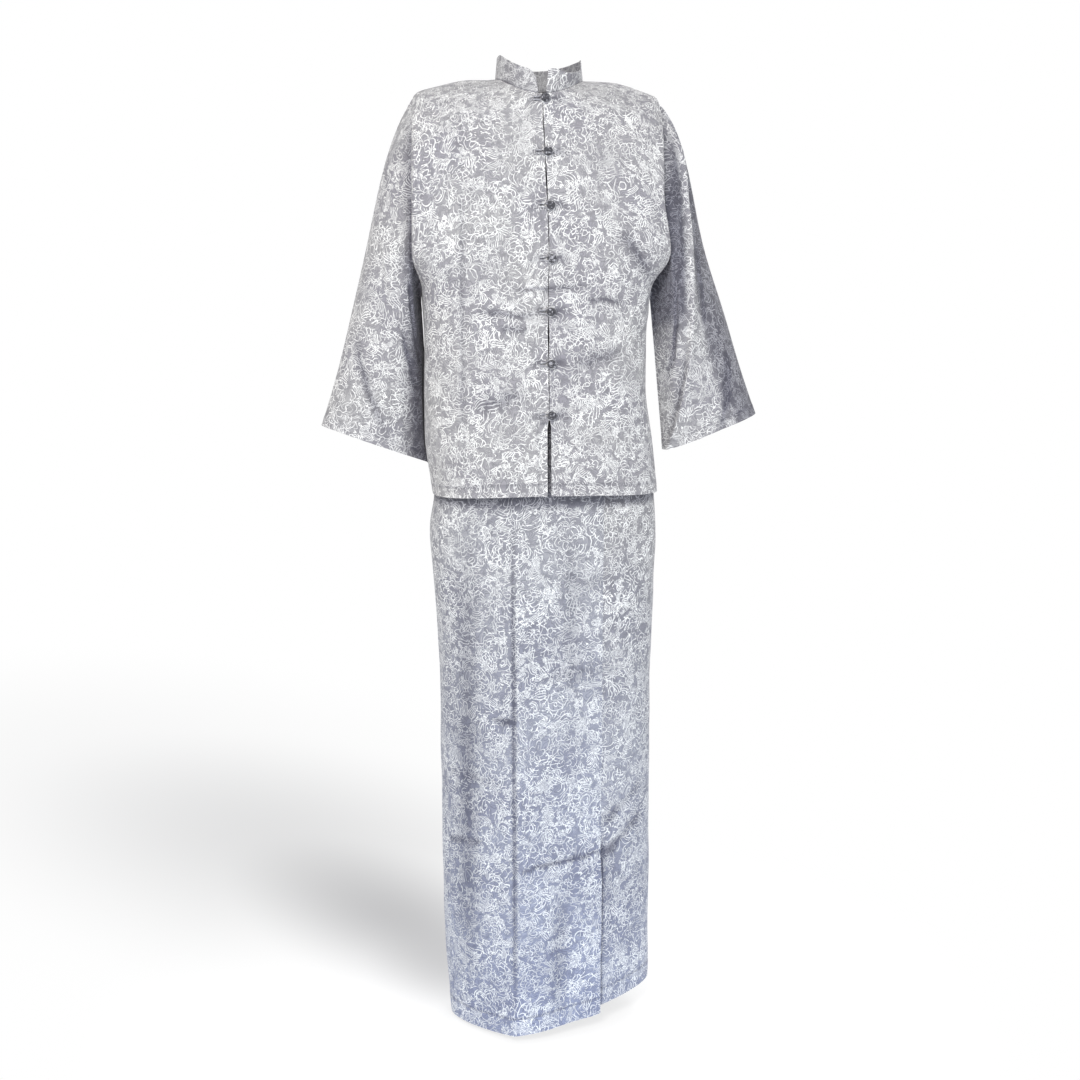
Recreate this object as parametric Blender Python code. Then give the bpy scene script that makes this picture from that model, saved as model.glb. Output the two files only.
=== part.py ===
"""Baju kurung set in printed cotton, filled out as if worn: a short buttoned top with a stand collar
and wide sleeves, over a long straight skirt. Metres, +Z up, the front faces -Y, and the origin is
where the shoulders carry the top. Left and right in the names are the wearer's own."""

import math

import bmesh
import bpy
from mathutils import Vector

for old in list(bpy.data.objects):
    bpy.data.objects.remove(old)

# Cloth and seams
WALL = 0.0016
SEAM_GAP = 0.0003
EDGE = SEAM_GAP / 2

# Where each named line of the top lies in its table of rows
HEM, UNDERARM, SHOULDER, NECK = 0, 4, 8, 11

# The top, a row for each level: edge = side seam, armhole or shoulder seam; x is a half width
TOP_COLUMNS = "x_right x_left z_edge y_edge_front y_edge_back x_front z_front y_front z_back y_back square"
TOP_ROWS = [
    (0.161, 0.170, -0.583, -0.012, -0.012, -0.003, -0.577, -0.120, -0.582, 0.100, 2.8),
    (0.172, 0.162, -0.500, -0.012, -0.012, -0.003, -0.500, -0.117, -0.500, 0.097, 2.8),
    (0.173, 0.153, -0.425, -0.012, -0.012, -0.003, -0.425, -0.113, -0.425, 0.094, 2.8),
    (0.171, 0.153, -0.360, -0.012, -0.012, -0.003, -0.360, -0.110, -0.360, 0.093, 2.8),
    (0.174, 0.160, -0.288, -0.012, -0.012, -0.003, -0.290, -0.107, -0.290, 0.094, 2.8),
    (0.190, 0.178, -0.235, -0.056, 0.038, -0.002, -0.245, -0.105, -0.240, 0.096, 3.0),
    (0.190, 0.166, -0.150, -0.068, 0.054, -0.003, -0.180, -0.102, -0.170, 0.097, 3.0),
    (0.187, 0.167, -0.070, -0.046, 0.036, -0.005, -0.125, -0.096, -0.095, 0.092, 2.8),
    (0.182, 0.171, -0.021, 0.000, 0.000, -0.006, -0.085, -0.088, -0.048, 0.085, 2.4),
    (0.150, 0.141, -0.005, 0.002, 0.002, -0.007, -0.057, -0.082, -0.024, 0.077, 2.2),
    (0.105, 0.100, 0.005, 0.004, 0.004, -0.007, -0.036, -0.078, -0.010, 0.069, 2.1),
    (0.064, 0.062, 0.006, 0.005, 0.005, -0.007, -0.020, -0.073, -0.001, 0.060, 2.0),
]
TOP_COLUMNS_OF_POINTS = 9
SIDE_ROWS = 7
ARMHOLE_ROWS = 9
SHOULDER_ROWS = 4

# The centre front: closed edge to edge at the buttons, a little open between them and below
BUTTON_COUNT = 7
FIRST_BUTTON_Z = -0.028
LAST_BUTTON_Z = -0.463
SLIT_HALF_GAP = 0.0028
CLOSED_HALF_GAP = 0.0006
BETWEEN_HALF_GAP = 0.0004

# The sleeves, a row for each: cuff corners, half depth of the cuff, and how far the top line
# swells out and at what share of the sleeve's length
SLEEVE_COLUMNS = "side outer_x outer_y outer_z inner_x inner_y inner_z half_depth swell swell_at"
SLEEVE_ROWS = [
    ("right", 0.320, 0.030, -0.487, 0.154, 0.055, -0.549, 0.046, 0.012, 0.22),
    ("left", 0.331, 0.000, -0.473, 0.188, 0.005, -0.527, 0.046, 0.015, 0.12),
]
SLEEVE_LENGTH_ROWS = 10
SLEEVE_ROW_BIAS = 1.35
SLEEVE_CLEAR = 0.0025
UNDERARM_EASE = 0.0006
FOLD_BIAS = 2.0

# The stand collar
COLLAR_HEIGHT = 0.034
COLLAR_LEAN = 0.004
COLLAR_ROWS = 3
COLLAR_FRONT_SET_BACK = 0.0050
COLLAR_FRONT_SLANT = 0.0035

# Knot buttons and their loops
KNOT_HALF_WIDTH = 0.0066
KNOT_HALF_HEIGHT = 0.0054
KNOT_HALF_DEPTH = 0.0048
CORD_RADIUS = 0.0011
LOOP_RADIUS = 0.0066
LOOP_LEG = 0.0170
LOOP_LEG_HALF_GAP = 0.0022

# The skirt, a row for each level, measured like the top; pleat is how far the pressed fold stands out
SKIRT_COLUMNS = "z x_right x_left y_edge y_front y_back square pleat"
SKIRT_ROWS = [
    (-1.400, 0.144, 0.172, -0.008, -0.100, 0.092, 1.80, 0.030),
    (-1.250, 0.153, 0.172, -0.010, -0.103, 0.094, 1.95, 0.026),
    (-1.050, 0.155, 0.170, -0.010, -0.105, 0.095, 2.10, 0.020),
    (-0.850, 0.156, 0.168, -0.011, -0.106, 0.096, 2.30, 0.014),
    (-0.650, 0.167, 0.172, -0.012, -0.106, 0.096, 2.50, 0.008),
    (-0.590, 0.1594, 0.1684, -0.012, -0.105, 0.094, 2.70, 0.006),
    (-0.500, 0.153, 0.153, -0.011, -0.099, 0.088, 2.50, 0.002),
    (-0.452, 0.146, 0.144, -0.010, -0.094, 0.082, 2.30, 0.000),
    (-0.420, 0.140, 0.139, -0.010, -0.090, 0.078, 2.20, 0.000),
]
SKIRT_HEM_LEVEL, SKIRT_TOP_LEVEL, WAIST_LEVEL = 0, 7, 8
SKIRT_LENGTH_ROWS = 14
HEM_TILT = 0.098
PLEAT_X = -0.056
PLEAT_REACH_RIGHT = 0.090
PLEAT_REACH_LEFT = 0.150
OVERLAP_X = 0.079
SLIT_TOP_Z = -1.120
OVERLAP_LIFT = 0.0030
UNDERLAP_WIDTH = 0.032
UNDERLAP_DROP = 0.0022
UNDERLAP_STEP = 0.006
UNDERLAP_HEM_RISE = 0.010

# Columns of the skirt's rings: how many steps each stretch takes
FOLD_STEPS = 7
MIDDLE_STEPS = 5
LAP_STEPS = 2
SIDE_STEPS = 4
BACK_STEPS = 12

# How finely curves are drawn before their points are picked, and how columns of levels are searched
CURVE_STEPS = 60
ARMHOLE_SEARCH_STEPS = 80
WIDTH_SEARCH_STEPS = 160
FRONT_SEARCH_STEPS = 400

# Colours of the cloth and the cords
CLOTH_COLOURS = {
    "top": (0.60, 0.60, 0.63, 1.0),
    "skirt": (0.56, 0.58, 0.66, 1.0),
    "cord": (0.30, 0.30, 0.34, 1.0),
}
CLOTH_ROUGHNESS = 0.85
SHARP_ANGLE = 50


# Tables and curves


def table(columns, rows):
    """Gives each row's values the names of their columns."""
    names = columns.split()
    return [dict(zip(names, row)) for row in rows]


TOP = table(TOP_COLUMNS, TOP_ROWS)
SKIRT = table(SKIRT_COLUMNS, SKIRT_ROWS)
SLEEVES = table(SLEEVE_COLUMNS, SLEEVE_ROWS)


def slope_at(values, i):
    """The slope that keeps a curve through evenly spaced values free of overshoot."""
    if i == 0:
        return values[1] - values[0]
    if i == len(values) - 1:
        return values[i] - values[i - 1]
    before = values[i] - values[i - 1]
    after = values[i + 1] - values[i]
    if before * after <= 0:
        return 0.0
    return 2 * before * after / (before + after)


def read(rows, column, at):
    """Reads a column at a place between its rows along a smooth curve."""
    values = [row[column] for row in rows]
    i = min(int(at), len(values) - 2)
    t = at - i
    slopes = slope_at(values, i), slope_at(values, i + 1)
    rise = values[i + 1] - values[i]
    smooth = t * t * (3 - 2 * t)
    start = t * (1 - t) ** 2
    end = t * t * (t - 1)
    return values[i] + rise * smooth + slopes[0] * start + slopes[1] * end


def ease(x):
    """Rises smoothly from 0 to 1."""
    x = min(max(x, 0.0), 1.0)
    return x * x * (3 - 2 * x)


def even(curve, shares):
    """Points at the given shares of the length of a finely drawn curve."""
    lengths = [0.0]
    for a, b in zip(curve, curve[1:]):
        lengths.append(lengths[-1] + (b - a).length)
    found = []
    for share in shares:
        want = share * lengths[-1]
        i = 0
        while i < len(curve) - 2 and lengths[i + 1] < want:
            i += 1
        step = lengths[i + 1] - lengths[i]
        t = (want - lengths[i]) / step if step else 0.0
        found.append(curve[i].lerp(curve[i + 1], t))
    return found


def spread(first, last, count):
    return [first + (last - first) * i / count for i in range(count + 1)]


# Grids of points and the walls made from them


def across(grid, r, c, by_row):
    """The direction along a row or a column of a grid, one-sided at its edges."""
    if by_row:
        a = grid[max(r - 1, 0)][c]
        b = grid[min(r + 1, len(grid) - 1)][c]
    else:
        a = grid[r][max(c - 1, 0)]
        b = grid[r][min(c + 1, len(grid[r]) - 1)]
    return b - a


def normals_of(grid, flip):
    """Outward directions for a grid whose rows go up."""
    normals = []
    for r in range(len(grid)):
        row = []
        for c in range(len(grid[r])):
            n = across(grid, r, c, False).cross(across(grid, r, c, True)).normalized()
            row.append(-n if flip else n)
        normals.append(row)
    return normals


def make_wall(name, grid, normals, colour, ring, flip):
    """A closed wall of cloth: the grid is its outside, and its inside lies one wall further in."""
    mesh = bpy.data.meshes.new(name)
    bm = bmesh.new()
    outer = [[bm.verts.new(p) for p in row] for row in grid]
    inner = [
        [bm.verts.new(p - n * WALL) for p, n in zip(row, directions)]
        for row, directions in zip(grid, normals)
    ]
    rows = len(grid)
    columns = len(grid[0])

    def quad(a, b, c, d):
        corners = [a, b, c, d] if not flip else [d, c, b, a]
        bm.faces.new(corners)

    last = columns if ring else columns - 1
    for r in range(rows - 1):
        for c in range(last):
            d = (c + 1) % columns
            quad(outer[r][c], outer[r][d], outer[r + 1][d], outer[r + 1][c])
            quad(inner[r][c], inner[r + 1][c], inner[r + 1][d], inner[r][d])
    for c in range(last):
        d = (c + 1) % columns
        quad(outer[0][d], outer[0][c], inner[0][c], inner[0][d])
        quad(outer[-1][c], outer[-1][d], inner[-1][d], inner[-1][c])
    if not ring:
        for r in range(rows - 1):
            quad(outer[r][0], outer[r + 1][0], inner[r + 1][0], inner[r][0])
            quad(outer[r + 1][-1], outer[r][-1], inner[r][-1], inner[r + 1][-1])
    bmesh.ops.triangulate(bm, faces=bm.faces[:])
    bm.to_mesh(mesh)
    bm.free()
    return place(name, mesh, colour)


def place(name, mesh, colour):
    """Puts a mesh in the scene with its own material, shaded smooth but for its rims."""
    thing = bpy.data.objects.new(name, mesh)
    bpy.context.scene.collection.objects.link(thing)
    material = bpy.data.materials.new(name)
    material.use_nodes = True
    principled = material.node_tree.nodes["Principled BSDF"]
    principled.inputs["Base Color"].default_value = CLOTH_COLOURS[colour]
    principled.inputs["Roughness"].default_value = CLOTH_ROUGHNESS
    principled.inputs["Metallic"].default_value = 0.0
    mesh.materials.append(material)
    mesh.shade_smooth()
    mesh.set_sharp_from_angle(angle=math.radians(SHARP_ANGLE))
    return thing


def pull(grid, normals, edge, stretch=None):
    """Moves one edge of a grid half a seam's gap into its own piece, along the cloth."""
    rows = len(grid)
    columns = len(grid[0])
    places = {
        "first": [(r, 0, r, 1) for r in range(rows)],
        "last": [(r, columns - 1, r, columns - 2) for r in range(rows)],
        "bottom": [(0, c, 1, c) for c in range(columns)],
        "top": [(rows - 1, c, rows - 2, c) for c in range(columns)],
    }[edge]
    if stretch:
        places = places[stretch[0] : stretch[1] + 1]
    moved = []
    for i, (r, c, nr, nc) in enumerate(places):
        before = places[max(i - 1, 0)]
        after = places[min(i + 1, len(places) - 1)]
        along = (grid[after[0]][after[1]] - grid[before[0]][before[1]]).normalized()
        way = grid[nr][nc] - grid[r][c]
        way -= along * way.dot(along)
        way -= normals[r][c] * way.dot(normals[r][c])
        moved.append((r, c, grid[r][c] + way.normalized() * EDGE))
    for r, c, point in moved:
        grid[r][c] = point


# The top's body: four quarters, each a grid from a centre line out to the edge


def top_row(side, face, line, shares):
    """One row of a quarter, from the centre line to the edge, as part of a squared oval."""
    sign = -1 if side == "right" else 1
    half = read(TOP, "x_" + side, line)
    shift = read(TOP, "x_front", line) if face == "front" else 0.0
    edge_y = read(TOP, "y_edge_" + face, line)
    edge_z = read(TOP, "z_edge", line)
    middle_y = read(TOP, "y_" + face, line)
    middle_z = read(TOP, "z_" + face, line)
    power = 2 / read(TOP, "square", line)
    curve = []
    for i in range(CURVE_STEPS + 1):
        turn = math.pi / 2 * i / CURVE_STEPS
        out = math.sin(turn) ** power
        back = max(math.cos(turn), 0.0) ** power
        x = half * out
        y = edge_y + (middle_y - edge_y) * back
        z = middle_z + (edge_z - middle_z) * out**2
        curve.append(Vector((sign * x + shift * (1 - out**2), y, z)))
    return even(curve, shares)


def armhole_lines():
    """Levels evenly spaced along the armhole's front edge."""
    fine = spread(UNDERARM, SHOULDER, ARMHOLE_SEARCH_STEPS)
    edge = [top_row("left", "front", line, [1.0])[0] for line in fine]
    lengths = [0.0]
    for a, b in zip(edge, edge[1:]):
        lengths.append(lengths[-1] + (b - a).length)
    lines = []
    for k in range(ARMHOLE_ROWS + 1):
        want = lengths[-1] * k / ARMHOLE_ROWS
        i = min(range(len(fine)), key=lambda j: abs(lengths[j] - want))
        lines.append(fine[i])
    return lines


ARMHOLE_LINES = armhole_lines()
TOP_LINES = (
    spread(HEM, UNDERARM, SIDE_ROWS)[:-1]
    + ARMHOLE_LINES[:-1]
    + spread(SHOULDER, NECK, SHOULDER_ROWS)
)
UNDERARM_ROW = SIDE_ROWS
SHOULDER_ROW = SIDE_ROWS + ARMHOLE_ROWS


def front_gap(z):
    """Half the distance between the two front edges at a height."""
    step = (FIRST_BUTTON_Z - LAST_BUTTON_Z) / (BUTTON_COUNT - 1)
    if z < LAST_BUTTON_Z:
        open_share = ease((LAST_BUTTON_Z - z) / 0.02)
        return CLOSED_HALF_GAP + (SLIT_HALF_GAP - CLOSED_HALF_GAP) * open_share
    between = math.sin(math.pi * (FIRST_BUTTON_Z - z) / step) ** 2
    return CLOSED_HALF_GAP + BETWEEN_HALF_GAP * between


def quarter(side, face):
    shares = spread(0.0, 1.0, TOP_COLUMNS_OF_POINTS)
    grid = [top_row(side, face, line, shares) for line in TOP_LINES]
    if face == "front":
        sign = -1 if side == "right" else 1
        for row in grid:
            row[0].x += sign * front_gap(row[0].z)
    return grid


def body_width(side, y, z):
    """How far the body reaches sideways at a depth and height, with its armhole closed off."""
    lines = spread(HEM, SHOULDER, WIDTH_SEARCH_STEPS)
    line = min(lines, key=lambda n: abs(read(TOP, "z_edge", n) - z))
    half = read(TOP, "x_" + side, line)
    face = "front" if y < read(TOP, "y_edge_front", line) else "back"
    edge = read(TOP, "y_edge_" + face, line)
    share = (y - edge) / (read(TOP, "y_" + face, line) - edge)
    if share <= 0:
        return half
    power = read(TOP, "square", line)
    return half * max(1 - share**power, 0.0) ** (1 / power)


def sleeve_grid(side, front, back):
    """A tube from the armhole down to the cuff; its columns go round from the shoulder point
    down the front to the underarm and up the back."""
    row = next(r for r in SLEEVES if r["side"] == side)
    sign = -1 if side == "right" else 1
    loop = [front[r][-1].copy() for r in range(SHOULDER_ROW, UNDERARM_ROW - 1, -1)]
    loop += [back[r][-1].copy() for r in range(UNDERARM_ROW + 1, SHOULDER_ROW)]
    outer = Vector((sign * row["outer_x"], row["outer_y"], row["outer_z"]))
    inner = Vector((sign * row["inner_x"], row["inner_y"], row["inner_z"]))
    centre = (outer + inner) / 2
    reach = (outer - inner) / 2
    depth = Vector((0, 0, 1)).cross(reach).normalized() * row["half_depth"]
    if depth.y > 0:
        depth = -depth
    count = len(loop)
    peak = row["swell_at"]
    fall = (1 - peak) / peak
    grid = []
    for share in spread(0.0, 1.0, SLEEVE_LENGTH_ROWS):
        s = share**SLEEVE_ROW_BIAS
        bulge = row["swell"] * s / peak * ((1 - s) / (1 - peak)) ** fall
        ring = []
        for c, start in enumerate(loop):
            turn = 2 * math.pi * c / count
            end = centre + reach * math.cos(turn) + depth * math.sin(turn)
            swell = bulge * max(math.cos(turn), 0.0)
            point = start.lerp(end, s) + Vector((sign * swell, 0, swell * 0.3))
            least = body_width(side, point.y, point.z) + SLEEVE_CLEAR * ease(s / 0.1)
            if s > 0 and abs(point.x) < least:
                point.x = sign * least
            point.x += sign * UNDERARM_EASE * max(-math.cos(turn), 0.0) ** 4
            ring.append(point)
        grid.append(ring)
    return grid


def ring_normals(grid, flip):
    """Outward directions for a grid whose rows are closed rings."""
    wrapped = [[row[-1]] + row + [row[0]] for row in grid]
    return [row[1:-1] for row in normals_of(wrapped, flip)]


def share_normals(places):
    """Gives the same direction to points that meet at a seam. Where the cloth folds back on
    itself, as below the arm, that direction is down, out of the fold."""
    total = Vector()
    for normals, r, c in places:
        total += normals[r][c]
    first, last = (places[i][0][places[i][1]][places[i][2]] for i in (0, -1))
    total.z -= FOLD_BIAS * max(0.0, -first.dot(last))
    total.normalize()
    for normals, r, c in places:
        normals[r][c] = total.copy()


def collar_grid(necks):
    """The collar band, on the neckline's own points, from one front edge round to the other."""
    left_front, left_back, right_back, right_front = necks
    line = left_front + left_back[::-1][1:] + right_back[1:] + right_front[::-1][1:]
    count = len(line) - 1
    line[0] += (line[1] - line[0]).normalized() * COLLAR_FRONT_SET_BACK
    line[-1] += (line[-2] - line[-1]).normalized() * COLLAR_FRONT_SET_BACK
    grid = []
    for s in spread(0.0, 1.0, COLLAR_ROWS):
        row = []
        for i, base in enumerate(line):
            from_front = min(i, count - i) / count * 2
            outward = Vector((base.x, base.y, 0)).normalized()
            up = COLLAR_HEIGHT * s
            lean = COLLAR_LEAN * s
            near = 1 - ease(from_front / 0.2)
            side = 1 if i < count / 2 else -1
            slant = side * COLLAR_FRONT_SLANT * s * near
            row.append(base - outward * lean + Vector((slant, 0, up)))
        grid.append(row)
    return grid


def build_top():
    quarters = {}
    normals = {}
    for side in ("right", "left"):
        for face in ("front", "back"):
            grid = quarter(side, face)
            quarters[side, face] = grid
            normals[side, face] = normals_of(grid, (side == "right") != (face == "back"))
    last = TOP_COLUMNS_OF_POINTS
    sleeves = {}
    sleeve_normals = {}
    for side in ("right", "left"):
        front, back = quarters[side, "front"], quarters[side, "back"]
        grid = sleeve_grid(side, front, back)
        sleeves[side] = grid
        sleeve_normals[side] = ring_normals(grid, side == "right")
        fn, bn, sn = normals[side, "front"], normals[side, "back"], sleeve_normals[side]
        for r in range(len(TOP_LINES)):
            if r < UNDERARM_ROW or r > SHOULDER_ROW:
                share_normals([(fn, r, last), (bn, r, last)])
        count = len(grid[0])
        for k in range(1, ARMHOLE_ROWS):
            share_normals([(fn, SHOULDER_ROW - k, last), (sn, 0, k)])
            share_normals([(bn, SHOULDER_ROW - k, last), (sn, 0, (count - k) % count)])
        share_normals([(fn, SHOULDER_ROW, last), (bn, SHOULDER_ROW, last), (sn, 0, 0)])
        share_normals([(fn, UNDERARM_ROW, last), (bn, UNDERARM_ROW, last), (sn, 0, ARMHOLE_ROWS)])
    for r in range(len(TOP_LINES) - 1):
        share_normals([(normals["right", "back"], r, 0), (normals["left", "back"], r, 0)])

    necks = [
        [p.copy() for p in quarters["left", "front"][-1]],
        [p.copy() for p in quarters["left", "back"][-1]],
        [p.copy() for p in quarters["right", "back"][-1]],
        [p.copy() for p in quarters["right", "front"][-1]],
    ]
    collar = collar_grid(necks)
    collar_normals = normals_of(collar, False)
    for c in range(last + 1):
        share_normals([(normals["left", "front"], -1, c), (collar_normals, 0, c)])
        share_normals([(normals["right", "front"], -1, c), (collar_normals, 0, 4 * last - c)])
    for c in range(1, last):
        share_normals([(normals["left", "back"], -1, c), (collar_normals, 0, 2 * last - c)])
        share_normals([(normals["right", "back"], -1, c), (collar_normals, 0, 2 * last + c)])
    middle = [(normals["left", "back"], -1, 0), (normals["right", "back"], -1, 0)]
    share_normals(middle + [(collar_normals, 0, 2 * last)])
    for side, c in (("left", last), ("right", 3 * last)):
        shared = collar_normals[0][c]
        normals[side, "back"][-1][last] = shared.copy()
        normals[side, "front"][-1][last] = shared.copy()

    last_row = len(TOP_LINES) - 1
    stretches = (0, UNDERARM_ROW), (UNDERARM_ROW, SHOULDER_ROW), (SHOULDER_ROW, last_row)
    for side in ("right", "left"):
        grid = quarters[side, "front"]
        for stretch in stretches:
            pull(grid, normals[side, "front"], "last", stretch)
        pull(grid, normals[side, "front"], "top")
        make_wall("top_front_" + side, grid, normals[side, "front"], "top", False, side == "right")
    back = []
    back_normals = []
    for r in range(len(TOP_LINES)):
        back.append(quarters["left", "back"][r][::-1] + quarters["right", "back"][r][1:])
        back_normals.append(normals["left", "back"][r][::-1] + normals["right", "back"][r][1:])
    for stretch in stretches:
        pull(back, back_normals, "first", stretch)
        pull(back, back_normals, "last", stretch)
    pull(back, back_normals, "top")
    make_wall("top_back", back, back_normals, "top", False, False)
    for side in ("right", "left"):
        grid = sleeves[side]
        pull(grid, sleeve_normals[side], "bottom")
        make_wall("sleeve_" + side, grid, sleeve_normals[side], "top", True, side == "right")
    pull(collar, collar_normals, "bottom")
    make_wall("collar", collar, collar_normals, "top", False, False)


# Buttons and loops


def front_place(z):
    """The point on the closed front at a height, with the directions out of and up the cloth."""
    lines = spread(HEM, NECK, FRONT_SEARCH_STEPS)
    places = [
        Vector((read(TOP, "x_front", n), read(TOP, "y_front", n), read(TOP, "z_front", n)))
        for n in lines
    ]
    i = min(range(1, len(places) - 1), key=lambda k: abs(places[k].z - z))
    up = (places[i + 1] - places[i - 1]).normalized()
    out = up.cross(Vector((1, 0, 0))).normalized()
    if out.y > 0:
        out = -out
    return places[i], out, up


def make_knot(name, z):
    """A knotted cord button, a flattened ball just clear of the front edges."""
    point, out, up = front_place(z)
    mesh = bpy.data.meshes.new(name)
    bm = bmesh.new()
    bmesh.ops.create_uvsphere(bm, u_segments=10, v_segments=6, radius=1.0)
    centre = point + out * (KNOT_HALF_DEPTH + SEAM_GAP)
    for vert in bm.verts:
        x, y, w = vert.co
        vert.co = (
            centre
            + Vector((1, 0, 0)) * x * KNOT_HALF_WIDTH
            - out * y * KNOT_HALF_DEPTH
            + up * w * KNOT_HALF_HEIGHT
        )
    bmesh.ops.recalc_face_normals(bm, faces=bm.faces[:])
    bm.to_mesh(mesh)
    bm.free()
    place(name, mesh, "cord")


def loop_path():
    """The loop's route on the cloth: two legs and a turn round the knot, as (across, up)."""
    start = math.radians(155)
    path = [(-LOOP_LEG, LOOP_LEG_HALF_GAP), (-LOOP_LEG * 0.72, LOOP_LEG_HALF_GAP)]
    for i in range(11):
        turn = start - 2 * start * i / 10
        path.append((LOOP_RADIUS * math.cos(turn), LOOP_RADIUS * math.sin(turn)))
    path += [(-LOOP_LEG * 0.72, -LOOP_LEG_HALF_GAP), (-LOOP_LEG, -LOOP_LEG_HALF_GAP)]
    return path


def make_loop(name, z):
    """A cord loop lying on the wearer's right front and going round the knot."""
    point, out, up = front_place(z)
    lift = CORD_RADIUS + SEAM_GAP
    route = [point + Vector((1, 0, 0)) * x + up * w + out * lift for x, w in loop_path()]
    sides = 6
    mesh = bpy.data.meshes.new(name)
    bm = bmesh.new()
    rings = []
    for i, centre in enumerate(route):
        along = (route[min(i + 1, len(route) - 1)] - route[max(i - 1, 0)]).normalized()
        wide = along.cross(out).normalized()
        ring = []
        for k in range(sides):
            turn = 2 * math.pi * k / sides
            offset = wide * math.cos(turn) + out * math.sin(turn)
            ring.append(bm.verts.new(centre + offset * CORD_RADIUS))
        rings.append(ring)
    for a, b in zip(rings, rings[1:]):
        for k in range(sides):
            j = (k + 1) % sides
            bm.faces.new((a[k], a[j], b[j], b[k]))
    bm.faces.new(rings[0][::-1])
    bm.faces.new(rings[-1])
    bmesh.ops.recalc_face_normals(bm, faces=bm.faces[:])
    bm.to_mesh(mesh)
    bm.free()
    place(name, mesh, "cord")


def build_buttons():
    step = (LAST_BUTTON_Z - FIRST_BUTTON_Z) / (BUTTON_COUNT - 1)
    for i in range(BUTTON_COUNT):
        z = FIRST_BUTTON_Z + step * i
        make_knot("knot_button_%d" % (i + 1), z)
        make_loop("button_loop_%d" % (i + 1), z)


# The skirt: closed rings with a pressed fold at the front, split into panels


def between(curve, first, last):
    """The part of a curve, drawn towards +X, that lies between two values of x."""
    inside = [p for p in curve if first < p.x < last]
    ends = []
    for x in (first, last):
        for a, b in zip(curve, curve[1:]):
            if a.x <= x <= b.x and b.x > a.x:
                ends.append(a.lerp(b, (x - a.x) / (b.x - a.x)))
                break
    return [ends[0]] + inside + [ends[1]]


def skirt_curve(level, face):
    """The front or back half of a ring, from one side seam to the other, drawn towards +X."""
    power = 2 / read(SKIRT, "square", level)
    edge_y = read(SKIRT, "y_edge", level)
    middle_y = read(SKIRT, "y_" + face, level)
    z = read(SKIRT, "z", level)
    pleat = read(SKIRT, "pleat", level) if face == "front" else 0.0
    tilt = HEM_TILT * max(0.0, 1 - level / 3)
    curve = []
    for i in range(-CURVE_STEPS, CURVE_STEPS + 1):
        turn = math.pi / 2 * i / CURVE_STEPS
        half = read(SKIRT, "x_right" if turn < 0 else "x_left", level)
        x = math.copysign(half * abs(math.sin(turn)) ** power, turn)
        y = edge_y + (middle_y - edge_y) * max(math.cos(turn), 0.0) ** power
        reach = PLEAT_REACH_RIGHT if x < PLEAT_X else PLEAT_REACH_LEFT
        tent = max(0.0, 1 - abs(x - PLEAT_X) / reach)
        y -= pleat * tent**1.3
        curve.append(Vector((x, y, z + tilt * x)))
    return curve


def skirt_row(level):
    front = skirt_curve(level, "front")
    stops = [
        (front[0].x, PLEAT_X, FOLD_STEPS),
        (PLEAT_X, OVERLAP_X - UNDERLAP_WIDTH, MIDDLE_STEPS),
        (OVERLAP_X - UNDERLAP_WIDTH, OVERLAP_X, LAP_STEPS),
        (OVERLAP_X, OVERLAP_X + UNDERLAP_STEP, 1),
        (OVERLAP_X + UNDERLAP_STEP, front[-1].x, SIDE_STEPS),
    ]
    row = []
    for first, last, steps in stops:
        row += even(between(front, first, last), spread(0.0, 1.0, steps)[:-1])
    back = skirt_curve(level, "back")[::-1]
    row += even(back, spread(0.0, 1.0, BACK_STEPS)[:-1])
    return row


def build_skirt():
    levels = spread(SKIRT_HEM_LEVEL, SKIRT_TOP_LEVEL, SKIRT_LENGTH_ROWS)
    rings = [skirt_row(level) for level in levels]
    band = [skirt_row(level) for level in spread(SKIRT_TOP_LEVEL, WAIST_LEVEL, 2)]
    all_normals = ring_normals(rings + band[1:], False)
    normals = all_normals[: len(rings)]
    band_normals = all_normals[len(rings) - 1 :]

    lap = FOLD_STEPS + MIDDLE_STEPS
    seam = lap + LAP_STEPS
    side = seam + 1 + SIDE_STEPS

    over = [[p.copy() for p in row[: seam + 1]] for row in rings]
    over_normals = [row[: seam + 1] for row in normals]
    for row, directions in zip(over, over_normals):
        for point, n in zip(row, directions):
            near = ease((point.x - OVERLAP_X + 0.05) / 0.05)
            low = ease((SLIT_TOP_Z - point.z) / 0.06)
            point += n * OVERLAP_LIFT * near * low
    under = [[p.copy() for p in row[lap : side + 1]] for row in rings]
    under_normals = [row[lap : side + 1] for row in normals]
    for row, directions in zip(under, under_normals):
        for c in range(LAP_STEPS + 1):
            row[c] -= directions[c] * UNDERLAP_DROP
    for low, high in zip(under[0], under[1]):
        low += (high - low).normalized() * UNDERLAP_HEM_RISE
    back = [[p.copy() for p in row[side:] + row[:1]] for row in rings]
    back_normals = [row[side:] + row[:1] for row in normals]

    panels = [
        ("skirt_front_overlap", over, over_normals, ("first", "last", "top")),
        ("skirt_front_underlap", under, under_normals, ("last", "top")),
        ("skirt_back", back, back_normals, ("first", "last", "top")),
    ]
    for name, grid, directions, edges in panels:
        for edge in edges:
            pull(grid, directions, edge)
        make_wall(name, grid, directions, "skirt", False, False)
    pull(band, band_normals, "bottom")
    make_wall("skirt_waistband", band, band_normals, "skirt", True, False)


build_top()
build_buttons()
build_skirt()
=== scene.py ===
"""Baju kurung set in wax-printed cotton: a short buttoned top with a stand collar and wide sleeves,
over a long straight skirt. Each cut piece is a thin shell of cloth on the form of its solid.
Metres, +Z up, the front faces -Y. Left and right in the names are the wearer's own."""

import math

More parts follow.
